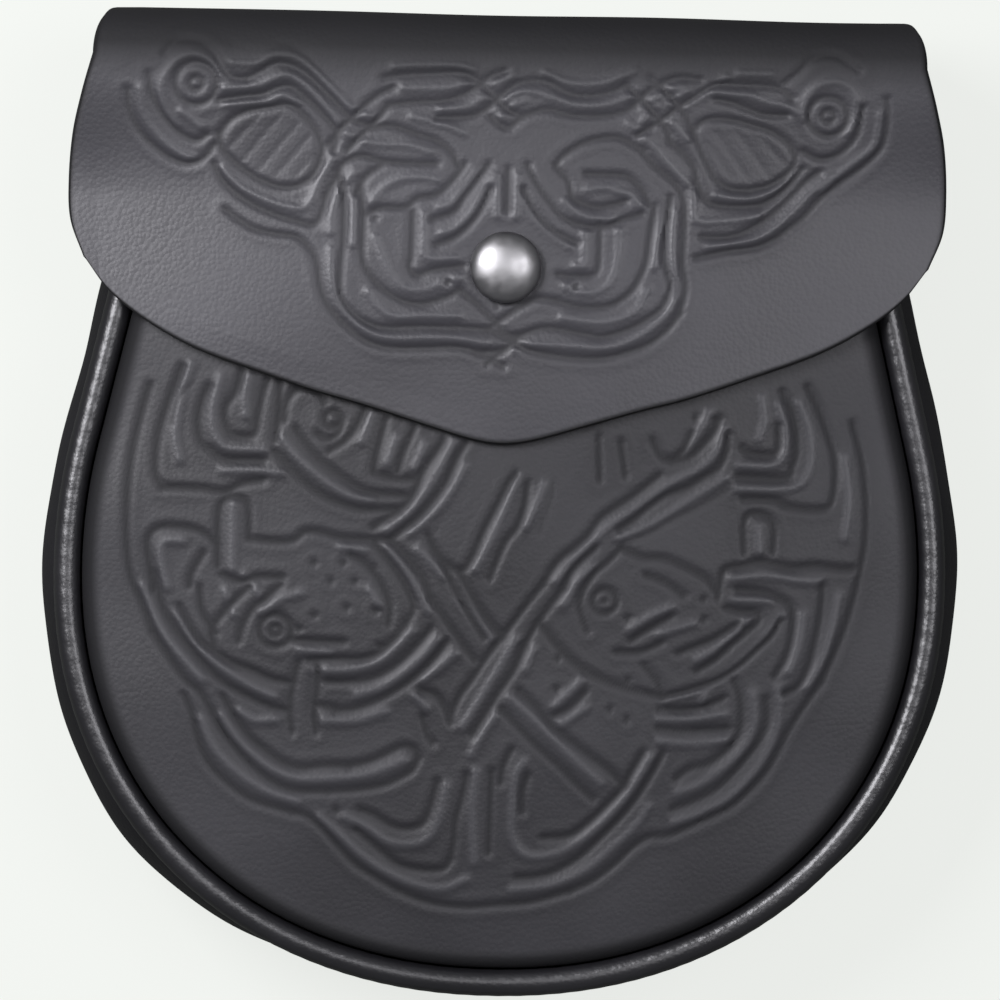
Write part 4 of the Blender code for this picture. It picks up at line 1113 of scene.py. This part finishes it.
def leather_tone_and_light_group():
    """Tone and gloss of dyed leather: cloudy dye; dark pressed lines with painted shade; worn high spots with
    a painted highlight; dull cut edges with a painted shadow.
    """
    group, given, made = new_group(
        "Leather tone and painted light",
        (
            ("Vector", "Vector", None),
            ("Deep tone", "Color", (0.01, 0.01, 0.01, 1.0)),
            ("Light tone", "Color", (0.03, 0.03, 0.03, 1.0)),
            ("Press_and_shade", "Float", 0.0),
            ("Rise", "Float", 0.0),
            ("Edge", "Float", 0.0),
            ("Polish", "Float", 0.4),
        ),
        (("Color", "Color"), ("Roughness", "Float")),
    )
    cloud = noise(group, given["Vector"], scale=26.0, detail=2.0)
    speckle = noise(group, given["Vector"], scale=420.0, detail=1.0)
    tone = mix_colours(group, spread(group, cloud, 0.0, 1.0), given["Deep tone"], given["Light tone"])
    # Speckle is random dye; Rise paints a highlight along with the wear, Press paints shade along with the
    # pressed lines, Edge paints a shadow along with the cut edge
    for mask, most, dye in (
        (speckle, 0.35, given["Deep tone"]),
        (given["Rise"], 0.30, WORN_AND_HIGHLIGHT_DYE),
        (given["Press_and_shade"], 0.58, PRESS_AND_SHADE_DYE),
        (given["Edge"], 0.92, CUT_EDGE_AND_SHADOW_DYE),
    ):
        tone = mix_colours(group, maths(group, "MULTIPLY", mask, most), tone, dye)
    gloss = given["Polish"]
    for mask, most in (
        (maths(group, "SUBTRACT", cloud, 0.5), 0.22),
        (given["Press_and_shade"], 0.22),
        (given["Rise"], -0.05),
    ):
        gloss = maths(group, "ADD", gloss, maths(group, "MULTIPLY", mask, most))
    gloss = maths(group, "ADD", gloss, maths(group, "MULTIPLY", given["Edge"], 0.25), clamp=True)
    group.links.new(tone, made["Color"])
    group.links.new(gloss, made["Roughness"])
    return group


def new_finish(name):
    """(material, node tree, shader, places on the piece) of a new material."""
    finish = bpy.data.materials.new(name)
    finish.use_nodes = True
    tree = finish.node_tree
    return finish, tree, tree.nodes["Principled BSDF"], add(tree, "ShaderNodeTexCoord").outputs["Object"]


def leather_finish(name, deep, light):
    """Dyed leather that reads a piece's marks of pressed lines and painted shade, of raised cords, and of cut
    edges.
    """
    finish, tree, shader, coords = new_finish(name)
    look = LEATHERS[name]
    feeds = {"Vector": coords, "Deep tone": (*deep, 1.0), "Light tone": (*light, 1.0)}
    feeds["Polish"] = look["polish"]
    for key in ("press_and_shade", "rise", "edge"):
        feeds[key.capitalize()] = add(tree, "ShaderNodeAttribute", attribute_name=key).outputs["Fac"]
    toned_and_lit = placed_group(tree, "Leather tone and painted light", leather_tone_and_light_group, feeds)
    feeds = {"Vector": coords, "Pore size": look["pore"]}
    grain = placed_group(tree, "Leather grain", leather_grain_group, feeds)
    feeds = {
        "Base Color": toned_and_lit["Color"],
        "Roughness": toned_and_lit["Roughness"],
        "Normal": bumps(tree, grain["Height"], look["bump"], PORE_DEPTH),
        "IOR": 1.5,
        "Specular IOR Level": look["sheen"],
    }
    feed(tree, shader, feeds)
    return finish


def polished_metal_finish(name, colour, roughness):
    """Nickel plate with smudges and small scratches."""
    finish, tree, shader, coords = new_finish(name)
    smudge = noise(tree, coords, scale=420.0, detail=2.0)
    scratches = noise(tree, coords, scale=2600.0, detail=2.0)
    dull = tuple(part * 0.82 for part in colour)
    feeds = {
        "Base Color": mix_colours(tree, maths(tree, "MULTIPLY", smudge, 0.6), (*colour, 1.0), (*dull, 1.0)),
        "Roughness": spread(tree, smudge, low=roughness * 0.85, high=roughness * 1.2),
        "Normal": bumps(tree, scratches, strength=0.02, distance=0.0001),
        "Metallic": 1.0,
    }
    feed(tree, shader, feeds)
    return finish


def thread_finish(name, colour):
    """Waxed thread, twisted from thinner strands."""
    finish, tree, shader, coords = new_finish(name)
    feeds = {"Vector": coords, "Scale": 900.0, "Distortion": 1.0, "Detail": 1.0}
    twist = add(tree, "ShaderNodeTexWave", feeds, bands_direction="DIAGONAL").outputs["Fac"]
    dark = tuple(part * 0.5 for part in colour)
    feeds = {
        "Base Color": mix_colours(tree, twist, (*dark, 1.0), (*colour, 1.0)),
        "Roughness": 0.42,
        "Normal": bumps(tree, twist, strength=0.5, distance=0.0002),
    }
    feed(tree, shader, feeds)
    return finish


# Settings


def length(name, description, default):
    return bpy.props.FloatProperty(
        name=name, description=description, default=default, unit="LENGTH", precision=5
    )


def cell_count(name, description, default, most):
    return bpy.props.IntProperty(name=name, description=description, default=default, min=40, max=most)


def colour(name, description, default):
    return bpy.props.FloatVectorProperty(name=name, description=description, default=default, subtype="COLOR")


class SporranSizes(bpy.types.PropertyGroup):
    line_depth: length("Line depth", "Depth of the tooled lines", 0.00032)
    line_half_width: length("Line half width", "Half width of the tooled lines", 0.00070)
    swell_height: length("Swell", "Rise of the leather beside the lines", 0.00008)
    cord_height: length("Cord height", "Rise of the interlaced cords", 0.00036)
    cord_half_width: length("Cord half width", "Half width of the interlaced cords", 0.00095)
    edge_radius: length("Edge radius", "Rounding of the flap's cut edge", 0.0009)
    stitch_pitch: length("Stitch pitch", "Distance between stitches", 0.0042)
    thread_radius: length("Thread radius", "Radius of the thread", 0.00042)
    panel_cells: cell_count("Panel cells", "Cells across the front panel's face", 290, 300)
    flap_cells: cell_count("Flap cells", "Cells across the flap's face", 310, 320)


class SporranColours(bpy.types.PropertyGroup):
    # The panel's dyes are darker than the back's, though all is one black leather: painted shade
    panel_deep: colour("Deep panel dye with painted shade", "Darkest dye of the front", (0.017, 0.0165, 0.019))
    panel_light: colour("Light panel dye with painted shade", "Lightest dye of the front", (0.030, 0.0295, 0.034))
    # The flap's dyes are lighter than the back's, though all is one black leather: painted light
    flap_deep: colour("Deep flap dye with painted light", "Darkest dye of the flap", (0.032, 0.031, 0.036))
    flap_light: colour("Light flap dye with painted light", "Lightest dye of the flap", (0.051, 0.050, 0.058))
    # The piping's and gusset's dyes are darker than the back's, though all is one black leather: painted
    # shade
    rim_deep: colour("Deep rim dye with painted shade", "Darkest dye of the piping and gusset", (0.006, 0.006, 0.007))
    rim_light: colour("Light rim dye with painted shade", "Lightest dye of the piping and gusset", (0.016, 0.0155, 0.018))
    back_deep: colour("Deep back dye", "Darkest dye of the back and the loops", (0.018, 0.017, 0.017))
    back_light: colour("Light back dye", "Lightest dye of the back and the loops", (0.040, 0.039, 0.047))
    nickel: colour("Nickel", "Plate of the snap", (0.37, 0.366, 0.37))
    thread: colour("Thread", "Waxed thread", (0.012, 0.012, 0.013))
    floor: colour("Floor", "Colour of the floor", (0.10, 0.105, 0.095))


# Pieces


class SPORRAN_OT_front_panel(bpy.types.Operator):
    """Makes the tooled front panel with its rolled shoulder"""

    bl_idname = "sporran.front_panel"
    bl_label = "Front Panel"

    def execute(self, context):
        sizes, colours = context.scene.sporran_sizes, context.scene.sporran_colours
        shape, layers = new_shape("press_and_shade", "rise")
        cells = sizes.panel_cells
        verts, u, v = add_grid(shape, cells, cells)
        places = panel_places(u, v, FRONT_TOP, cells, True)
        lines = PANEL_LEFT_TOP + PANEL_LEFT_MIDDLE + PANEL_LEFT_BOTTOM + PANEL_MIDDLE
        lines += PANEL_RIGHT_BOTTOM + PANEL_RIGHT_TOP
        height, press_and_shade, rise = tooling(
            places[:, :2], sizes, lines, PANEL_FAINT, PANEL_DOTS, PANEL_RINGS, PANEL_RAISED
        )
        ring = np.maximum(np.abs(u), np.abs(v))
        inside = np.clip((1.0 - ring) / FRONT_EDGE_FADE, 0.0, 1.0)
        # Painted shade on the shoulder beside the piping, carried in the press mark
        beside_piping = np.clip((ring - PIPING_SHADE_START) / PIPING_SHADE_RUN, 0.0, 1.0)
        height = height * inside + slow_waves(places, *FRONT_WAVES) * inside
        set_face(shape, verts, places, height[:, None])
        mark(verts, layers[0], np.maximum(press_and_shade * FRONT_PRESS, PIPING_SHADE * beside_piping))
        # Rise lightens the cords, partly as wear and partly as a painted highlight
        mark(verts, layers[1], rise)
        verts, u, v = add_grid(shape, FRONT_INNER_CELLS, FRONT_INNER_CELLS)
        set_face(shape, verts, panel_places(u, v, FRONT_TOP, FRONT_INNER_CELLS, True), -LEATHER)
        close_sheet(shape)
        finish = leather_finish("Front leather", colours.panel_deep, colours.panel_light)
        finished_piece("front_leather", shape, finish, ("front_panel",))
        return {"FINISHED"}


class SPORRAN_OT_flap(bpy.types.Operator):
    """Makes the tooled flap: hem on the back, fold over the top, tongue down the front"""

    bl_idname = "sporran.flap"
    bl_label = "Flap"

    def execute(self, context):
        sizes, colours = context.scene.sporran_sizes, context.scene.sporran_colours
        shape, layers = new_shape("press_and_shade", "rise", "edge")
        verts, u, v = add_grid(shape, sizes.flap_cells, len(flap_back_rows()) + TONGUE_ROWS)
        places, to_edge = flap_places(u, (1 - v) / 2)
        height, press_and_shade, rise = tooling(
            places[:, :2], sizes, FLAP_LEFT + FLAP_RIGHT, FLAP_HATCHING, FLAP_DOTS, FLAP_RINGS, FLAP_RAISED
        )
        front = np.clip((places[:, 2] - FLAP_RELIEF_Z) / FLAP_RELIEF_RUN, 0.0, 1.0)
        from_stud = np.hypot(places[:, 0], places[:, 1] - STUD_HEIGHT_ON_FRONT)
        height = height * front - STUD_DENT * np.exp(-((from_stud / STUD_DENT_RADIUS) ** 2)) * front
        height += slow_waves(places, *FLAP_WAVES) * np.clip(to_edge / FLAP_EDGE_FADE, 0.0, 1.0)
        height -= rounded_edge(to_edge, sizes.edge_radius)
        set_face(shape, verts, places, height[:, None])
        # Painted shade over the flap's top fold, carried in the press mark
        on_roll = np.interp(places[:, 1], *zip(*ROLL_SHADE))
        mark(verts, layers[0], np.maximum(press_and_shade * front, on_roll))
        # Rise lightens the cords, partly as wear and partly as a painted highlight
        mark(verts, layers[1], rise * front)
        # Dark cut edge, and painted shadow on the face beside it
        mark(verts, layers[2], np.clip(CUT_EDGE_SHADE - to_edge / sizes.edge_radius, 0.0, 1.0))
        verts, u, v = add_grid(shape, FLAP_INNER_COLUMNS, FLAP_INNER_ROWS)
        places, to_edge = flap_places(u, (1 - v) / 2)
        set_face(shape, verts, places, -LEATHER)
        mark(verts, layers[2], np.clip(1.0 - to_edge / sizes.edge_radius, 0.0, 1.0))
        close_sheet(shape)
        finish = leather_finish("Flap leather", colours.flap_deep, colours.flap_light)
        finished_piece("flap_leather", shape, finish, ("flap",))
        return {"FINISHED"}


class SPORRAN_OT_pipings(bpy.types.Operator):
    """Makes the two pipings, leather welts rolled over cord along the seams"""

    bl_idname = "sporran.pipings"
    bl_label = "Pipings"

    def execute(self, context):
        colours = context.scene.sporran_colours
        finish = leather_finish("Piping leather", colours.rim_deep, colours.rim_light)
        for name, height_of in (("front_piping", front_seam_z), ("rear_piping", rear_seam_z)):
            shape = bmesh.new()
            verts, station, v, line, outward = add_seam_grid(shape, PIPING_STATIONS, PIPING_ROUND)
            turn = v * math.pi
            drift = np.sin(station * CORD_DRIFT)
            radius = PIPING_RADIUS * (1 - CORD_MARK * (1 + np.sin(station * CORD_TWIST + turn + drift)))
            side = outward * (radius * np.cos(turn))[:, None]
            up = height_of(line[:, 1]) + radius * np.sin(turn)
            set_places(verts, np.column_stack([line + side, up]))
            bmesh.ops.remove_doubles(shape, verts=shape.verts, dist=SAME_PLACE)
            bmesh.ops.holes_fill(shape, edges=[edge for edge in shape.edges if edge.is_boundary], sides=0)
            bmesh.ops.recalc_face_normals(shape, faces=shape.faces)
            finished_piece(name + "_leather", shape, finish, (name,))
        return {"FINISHED"}


class SPORRAN_OT_gusset(bpy.types.Operator):
    """Makes the gusset between the pipings"""

    bl_idname = "sporran.gusset"
    bl_label = "Gusset"

    def execute(self, context):
        colours = context.scene.sporran_colours
        shape = bmesh.new()
        verts, station, v, line, outward = add_seam_grid(shape, GUSSET_STATIONS, GUSSET_ROWS)
        depth = (1 - v) / 2
        bulge = between(BOTTOM_BULGE, SIDE_BULGE, outward[:, 0] ** 2) - LEATHER / 2
        ripple = RIPPLE_HEIGHT * np.sin(station * RIPPLE_TURN + RIPPLE_SLANT * depth)
        ripple = ripple * np.sin(station * RIPPLE_SWING) * np.sin(math.pi * depth)
        left = smooth_table(LEFT_SLOUCH, line[:, 1])
        right = smooth_table(RIGHT_SLOUCH, line[:, 1])
        slouch = np.where(line[:, 0] < 0, left, right) - GUSSET_SLACK
        push = bulge * smooth_table(GUSSET_PROFILE, depth) + ripple + slouch * np.sin(math.pi * depth)
        clear = PIPING_RADIUS - GUSSET_TUCK
        z = between(FRONT_SEAM_Z - clear, rear_seam_z(line[:, 1]) + clear, depth)
        set_places(verts, np.column_stack([line + outward * push[:, None], z]))
        bmesh.ops.recalc_face_normals(shape, faces=shape.faces)
        finish = leather_finish("Gusset leather", colours.rim_deep, colours.rim_light)
        add_wall(finished_piece("gusset_leather", shape, finish, ("gusset",)), LEATHER)
        return {"FINISHED"}


class SPORRAN_OT_back_panel(bpy.types.Operator):
    """Makes the flat back panel"""

    bl_idname = "sporran.back_panel"
    bl_label = "Back Panel"

    def execute(self, context):
        colours = context.scene.sporran_colours
        shape = bmesh.new()
        verts, u, v = add_grid(shape, BACK_CELLS, BACK_CELLS)
        places = panel_places(u, v, BACK_TOP, BACK_CELLS, False)
        inside = np.clip((1.0 - np.maximum(np.abs(u), np.abs(v))) / BACK_EDGE_FADE, 0.0, 1.0)
        places[:, 2] = back_face(places[:, 1]) + LEATHER / 2 + slow_waves(places, *BACK_WAVES) * inside
        set_places(verts, places)
        bmesh.ops.recalc_face_normals(shape, faces=shape.faces)
        finish = leather_finish("Back leather", colours.back_deep, colours.back_light)
        piece = finished_piece("back_leather", shape, finish, ("back_panel",))
        add_wall(piece, LEATHER)
        add_bevel(piece)
        return {"FINISHED"}


def loop_line():
    """(height, z) along the outer face of a belt loop, from its lower foot to its upper one."""
    low, high = CROWN_LOW - LOOP_RAMP, CROWN_HIGH + LOOP_RAMP
    seat = GAP + LOOP_LEATHER
    ease = LOOP_RAMP * LOOP_EASE
    heel = seat * LOOP_HEEL
    bend = LOOP_LEATHER * LOOP_BEND
    return (
        (low - LOOP_FOOT, back_face(low - LOOP_FOOT) - seat),
        (low, back_face(low) - seat),
        (low + ease, back_face(low + ease) - heel),
        (CROWN_LOW - ease, bend),
        (CROWN_LOW, 0.0),
        (CROWN_HIGH, 0.0),
        (CROWN_HIGH + ease, bend),
        (high - ease, back_face(high - ease) - heel),
        (high, back_face(high) - seat),
        (high + LOOP_FOOT, back_face(high + LOOP_FOOT) - seat),
    )


class SPORRAN_OT_belt_loops(bpy.types.Operator):
    """Makes the two belt loops on the back"""

    bl_idname = "sporran.belt_loops"
    bl_label = "Belt Loops"

    def execute(self, context):
        colours = context.scene.sporran_colours
        finish = leather_finish("Loop leather", colours.back_deep, colours.back_light)
        line = np.array(loop_line())
        for name, side in (("belt_loop_left", -1), ("belt_loop_right", 1)):
            shape = bmesh.new()
            verts, u, v = add_grid(shape, LOOP_COLUMNS, LOOP_ROWS)
            x = side * LOOP_OFFSET + u * LOOP_WIDTH / 2
            y = between(line[0, 0], line[-1, 0], (v + 1) / 2)
            crease = np.exp(-(((np.abs(u) - LOOP_CREASE_PLACE) / LOOP_CREASE_WIDTH) ** 2))
            z = np.interp(y, line[:, 0], line[:, 1]) + LOOP_LEATHER / 2 + LOOP_CREASE_DEPTH * crease
            set_places(verts, np.column_stack([x, y, z]))
            bmesh.ops.recalc_face_normals(shape, faces=shape.faces)
            piece = finished_piece(name + "_strap", shape, finish, (name,))
            add_wall(piece, LOOP_LEATHER)
            add_bevel(piece)
        return {"FINISHED"}


class SPORRAN_OT_snap(bpy.types.Operator):
    """Turns the snap's domed cap with its socket, and plates the post"""

    bl_idname = "sporran.snap"
    bl_label = "Snap"

    def execute(self, context):
        colours = context.scene.sporran_colours
        low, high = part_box("stud_cap")
        base = high.z - CAP_RISE
        middle = (low.y + high.y) / 2
        profile = []
        for turn in np.linspace(0.0, 1.0, DOME_POINTS) * math.pi / 2:
            profile.append((CAP_RADIUS * math.sin(turn), CAP_RIM + (CAP_RISE - CAP_RIM) * math.cos(turn)))
        profile += [(CAP_RADIUS * share, height) for share, height in ROLLED_RIM]
        profile += [
            (SHANK_RADIUS, 0.0),
            (SHANK_RADIUS, -SHANK_DEPTH),
            (SOCKET_RADIUS, -SHANK_DEPTH),
            (SOCKET_RADIUS, -SOCKET_DEPTH),
            (SOCKET_WALL_RADIUS, -SOCKET_DEPTH),
            (SOCKET_WALL_RADIUS, low.z - base),
            (SOCKET_MOUTH_RADIUS, low.z - base),
            (SOCKET_MOUTH_RADIUS, -SOCKET_DEPTH),
            (0.0, -SOCKET_DEPTH),
        ]
        shape = bmesh.new()
        ring = [shape.verts.new((radius, middle, base + z)) for radius, z in profile]
        edges = [shape.edges.new(pair) for pair in zip(ring, ring[1:])]
        bmesh.ops.spin(
            shape,
            geom=ring + edges,
            cent=(0.0, middle, 0.0),
            axis=(0.0, 0.0, 1.0),
            angle=2 * math.pi,
            steps=SNAP_TURNS,
            use_merge=True,
        )
        bmesh.ops.remove_doubles(shape, verts=shape.verts, dist=SAME_PLACE)
        bmesh.ops.recalc_face_normals(shape, faces=shape.faces)
        finish = polished_metal_finish("Nickel cap", colours.nickel, 0.38)
        finished_piece("snap_cap", shape, finish, ("stud_cap",))
        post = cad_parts["snap_post"]
        post.data.materials.clear()
        post.data.materials.append(polished_metal_finish("Nickel post", colours.nickel, 0.30))
        return {"FINISHED"}


def add_stitch(shape, start, end, radius):
    """Adds one stitch between two places: a short thread that dips into the leather at both ends."""
    length = float(np.linalg.norm(end - start))
    turn = math.atan2(end[1] - start[1], end[0] - start[0])
    middle = (start + end) / 2
    for vert in bmesh.ops.create_uvsphere(shape, u_segments=8, v_segments=5, radius=1.0)["verts"]:
        along = vert.co.x * length / 2
        across = vert.co.y * radius
        vert.co = (
            middle[0] + along * math.cos(turn) - across * math.sin(turn),
            middle[1] + PIVOT_Y + along * math.sin(turn) + across * math.cos(turn),
            middle[2] + vert.co.z * radius + (end[2] - start[2]) * vert.co.x / 2,
        )


def stitch_run(shape, start, end, sizes):
    """Adds a straight run of stitches."""
    start, end = np.array(start), np.array(end)
    count = max(round(float(np.linalg.norm(end - start)) / sizes.stitch_pitch), 1)
    for k in range(count):
        first = between(start, end, (k + STITCH_START) / count)
        last = between(start, end, (k + STITCH_END) / count)
        add_stitch(shape, first, last, sizes.thread_radius)


class SPORRAN_OT_stitching(bpy.types.Operator):
    """Sews the flap's hem and the feet of the belt loops"""

    bl_idname = "sporran.stitching"
    bl_label = "Stitching"

    def execute(self, context):
        sizes, colours = context.scene.sporran_sizes, context.scene.sporran_colours
        shape = bmesh.new()
        hem = hem_half_width() - HEM_STITCH_INSET
        for row in HEM_STITCH_ROWS:
            height = HEM_LOW + row
            z = behind_back(height, LEATHER)
            stitch_run(shape, (-hem, height, z), (hem, height, z), sizes)
        line = loop_line()
        for side in (-1, 1):
            left = side * LOOP_OFFSET - LOOP_WIDTH / 2 + FOOT_STITCH_SIDE
            right = side * LOOP_OFFSET + LOOP_WIDTH / 2 - FOOT_STITCH_SIDE
            for foot_low, foot_high in (line[:2], line[-2:]):
                bottom, top = foot_low[0] + FOOT_STITCH_LOW, foot_high[0] - FOOT_STITCH_HIGH
                low_z, top_z = behind_back(bottom, LOOP_LEATHER), behind_back(top, LOOP_LEATHER)
                stitch_run(shape, (left, bottom, low_z), (right, bottom, low_z), sizes)
                stitch_run(shape, (left, top, top_z), (right, top, top_z), sizes)
                for x in (left, right):
                    stitch_run(shape, (x, bottom, low_z), (x, top, top_z), sizes)
        finished_piece("stitching", shape, thread_finish("Waxed thread", colours.thread))
        return {"FINISHED"}


def add_light(name, place, aim, size, energy):
    """Adds a square soft light that points at a place."""
    lamp = bpy.data.lights.new(name, "AREA")
    lamp.size = size
    lamp.energy = energy
    lamp.color = LAMP_COLOUR
    light = bpy.data.objects.new(name, lamp)
    light.location = place
    direction = Vector(aim) - Vector(place)
    light.rotation_euler = direction.to_track_quat("-Z", "Y").to_euler()
    bpy.context.scene.collection.objects.link(light)


class SPORRAN_OT_stage(bpy.types.Operator):
    """Makes the pale floor, the soft lights and the camera"""

    bl_idname = "sporran.stage"
    bl_label = "Stage"

    def execute(self, context):
        scene = context.scene
        shape = bmesh.new()
        bmesh.ops.create_grid(shape, x_segments=2, y_segments=2, size=FLOOR_HALF_WIDTH)
        mesh = bpy.data.meshes.new("floor")
        shape.to_mesh(mesh)
        shape.free()
        finish = bpy.data.materials.new("Pale floor")
        finish.use_nodes = True
        tree = finish.node_tree
        seen = add(tree, "ShaderNodeLightPath").outputs["Is Camera Ray"]
        feeds = {
            "Base Color": (*scene.sporran_colours.floor, 1.0),
            "Roughness": 0.9,
            "Emission Color": FLOOR_GLOW_COLOUR,
            "Emission Strength": maths(tree, "MULTIPLY", seen, FLOOR_GLOW),
        }
        feed(tree, tree.nodes["Principled BSDF"], feeds)
        mesh.materials.append(finish)
        floor = bpy.data.objects.new("floor", mesh)
        floor.location = (0.0, 0.0, FLOOR_Z)
        scene.collection.objects.link(floor)
        world = bpy.data.worlds.new("Studio")
        world.use_nodes = True
        sky = world.node_tree.nodes["Background"].inputs
        sky["Color"].default_value = SKY_COLOUR
        sky["Strength"].default_value = SKY_STRENGTH
        scene.world = world
        for light in LIGHTS:
            add_light(*light)
        camera_data = bpy.data.cameras.new("camera")
        camera_data.sensor_width = SENSOR_WIDTH
        camera_data.lens = SENSOR_WIDTH * CAMERA_RANGE / FRAME_WIDTH
        camera_data.clip_start = 0.1
        camera = bpy.data.objects.new("camera", camera_data)
        camera.location = CAMERA_PLACE
        camera.rotation_euler = (0.0, 0.0, math.radians(CAMERA_ROLL))
        scene.collection.objects.link(camera)
        scene.camera = camera
        scene.view_settings.view_transform = "Standard"
        return {"FINISHED"}


PIECES = (
    SPORRAN_OT_back_panel,
    SPORRAN_OT_front_panel,
    SPORRAN_OT_gusset,
    SPORRAN_OT_pipings,
    SPORRAN_OT_flap,
    SPORRAN_OT_snap,
    SPORRAN_OT_belt_loops,
    SPORRAN_OT_stitching,
    SPORRAN_OT_stage,
)


class SPORRAN_PT_sidebar(bpy.types.Panel):
    """Lists the pieces and their sizes and colours"""

    bl_idname = "SPORRAN_PT_sidebar"
    bl_label = "Day Sporran"
    bl_space_type = "VIEW_3D"
    bl_region_type = "UI"
    bl_category = "Sporran"

    def draw(self, context):
        for group in (context.scene.sporran_sizes, context.scene.sporran_colours):
            box = self.layout.box()
            for key in type(group).__annotations__:
                box.prop(group, key)
        for piece in PIECES:
            self.layout.operator(piece.bl_idname)


CLASSES = (SporranSizes, SporranColours, *PIECES, SPORRAN_PT_sidebar)


def register():
    for kind in CLASSES:
        bpy.utils.register_class(kind)
    bpy.types.Scene.sporran_sizes = bpy.props.PointerProperty(type=SporranSizes)
    bpy.types.Scene.sporran_colours = bpy.props.PointerProperty(type=SporranColours)


def unregister():
    del bpy.types.Scene.sporran_sizes
    del bpy.types.Scene.sporran_colours
    for kind in reversed(CLASSES):
        bpy.utils.unregister_class(kind)


def main():
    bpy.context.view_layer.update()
    register()
    bpy.ops.sporran.back_panel()
    bpy.ops.sporran.front_panel()
    bpy.ops.sporran.gusset()
    bpy.ops.sporran.pipings()
    bpy.ops.sporran.flap()
    bpy.ops.sporran.snap()
    bpy.ops.sporran.belt_loops()
    bpy.ops.sporran.stitching()
    bpy.ops.sporran.stage()


if __name__ == "__main__":
    main()
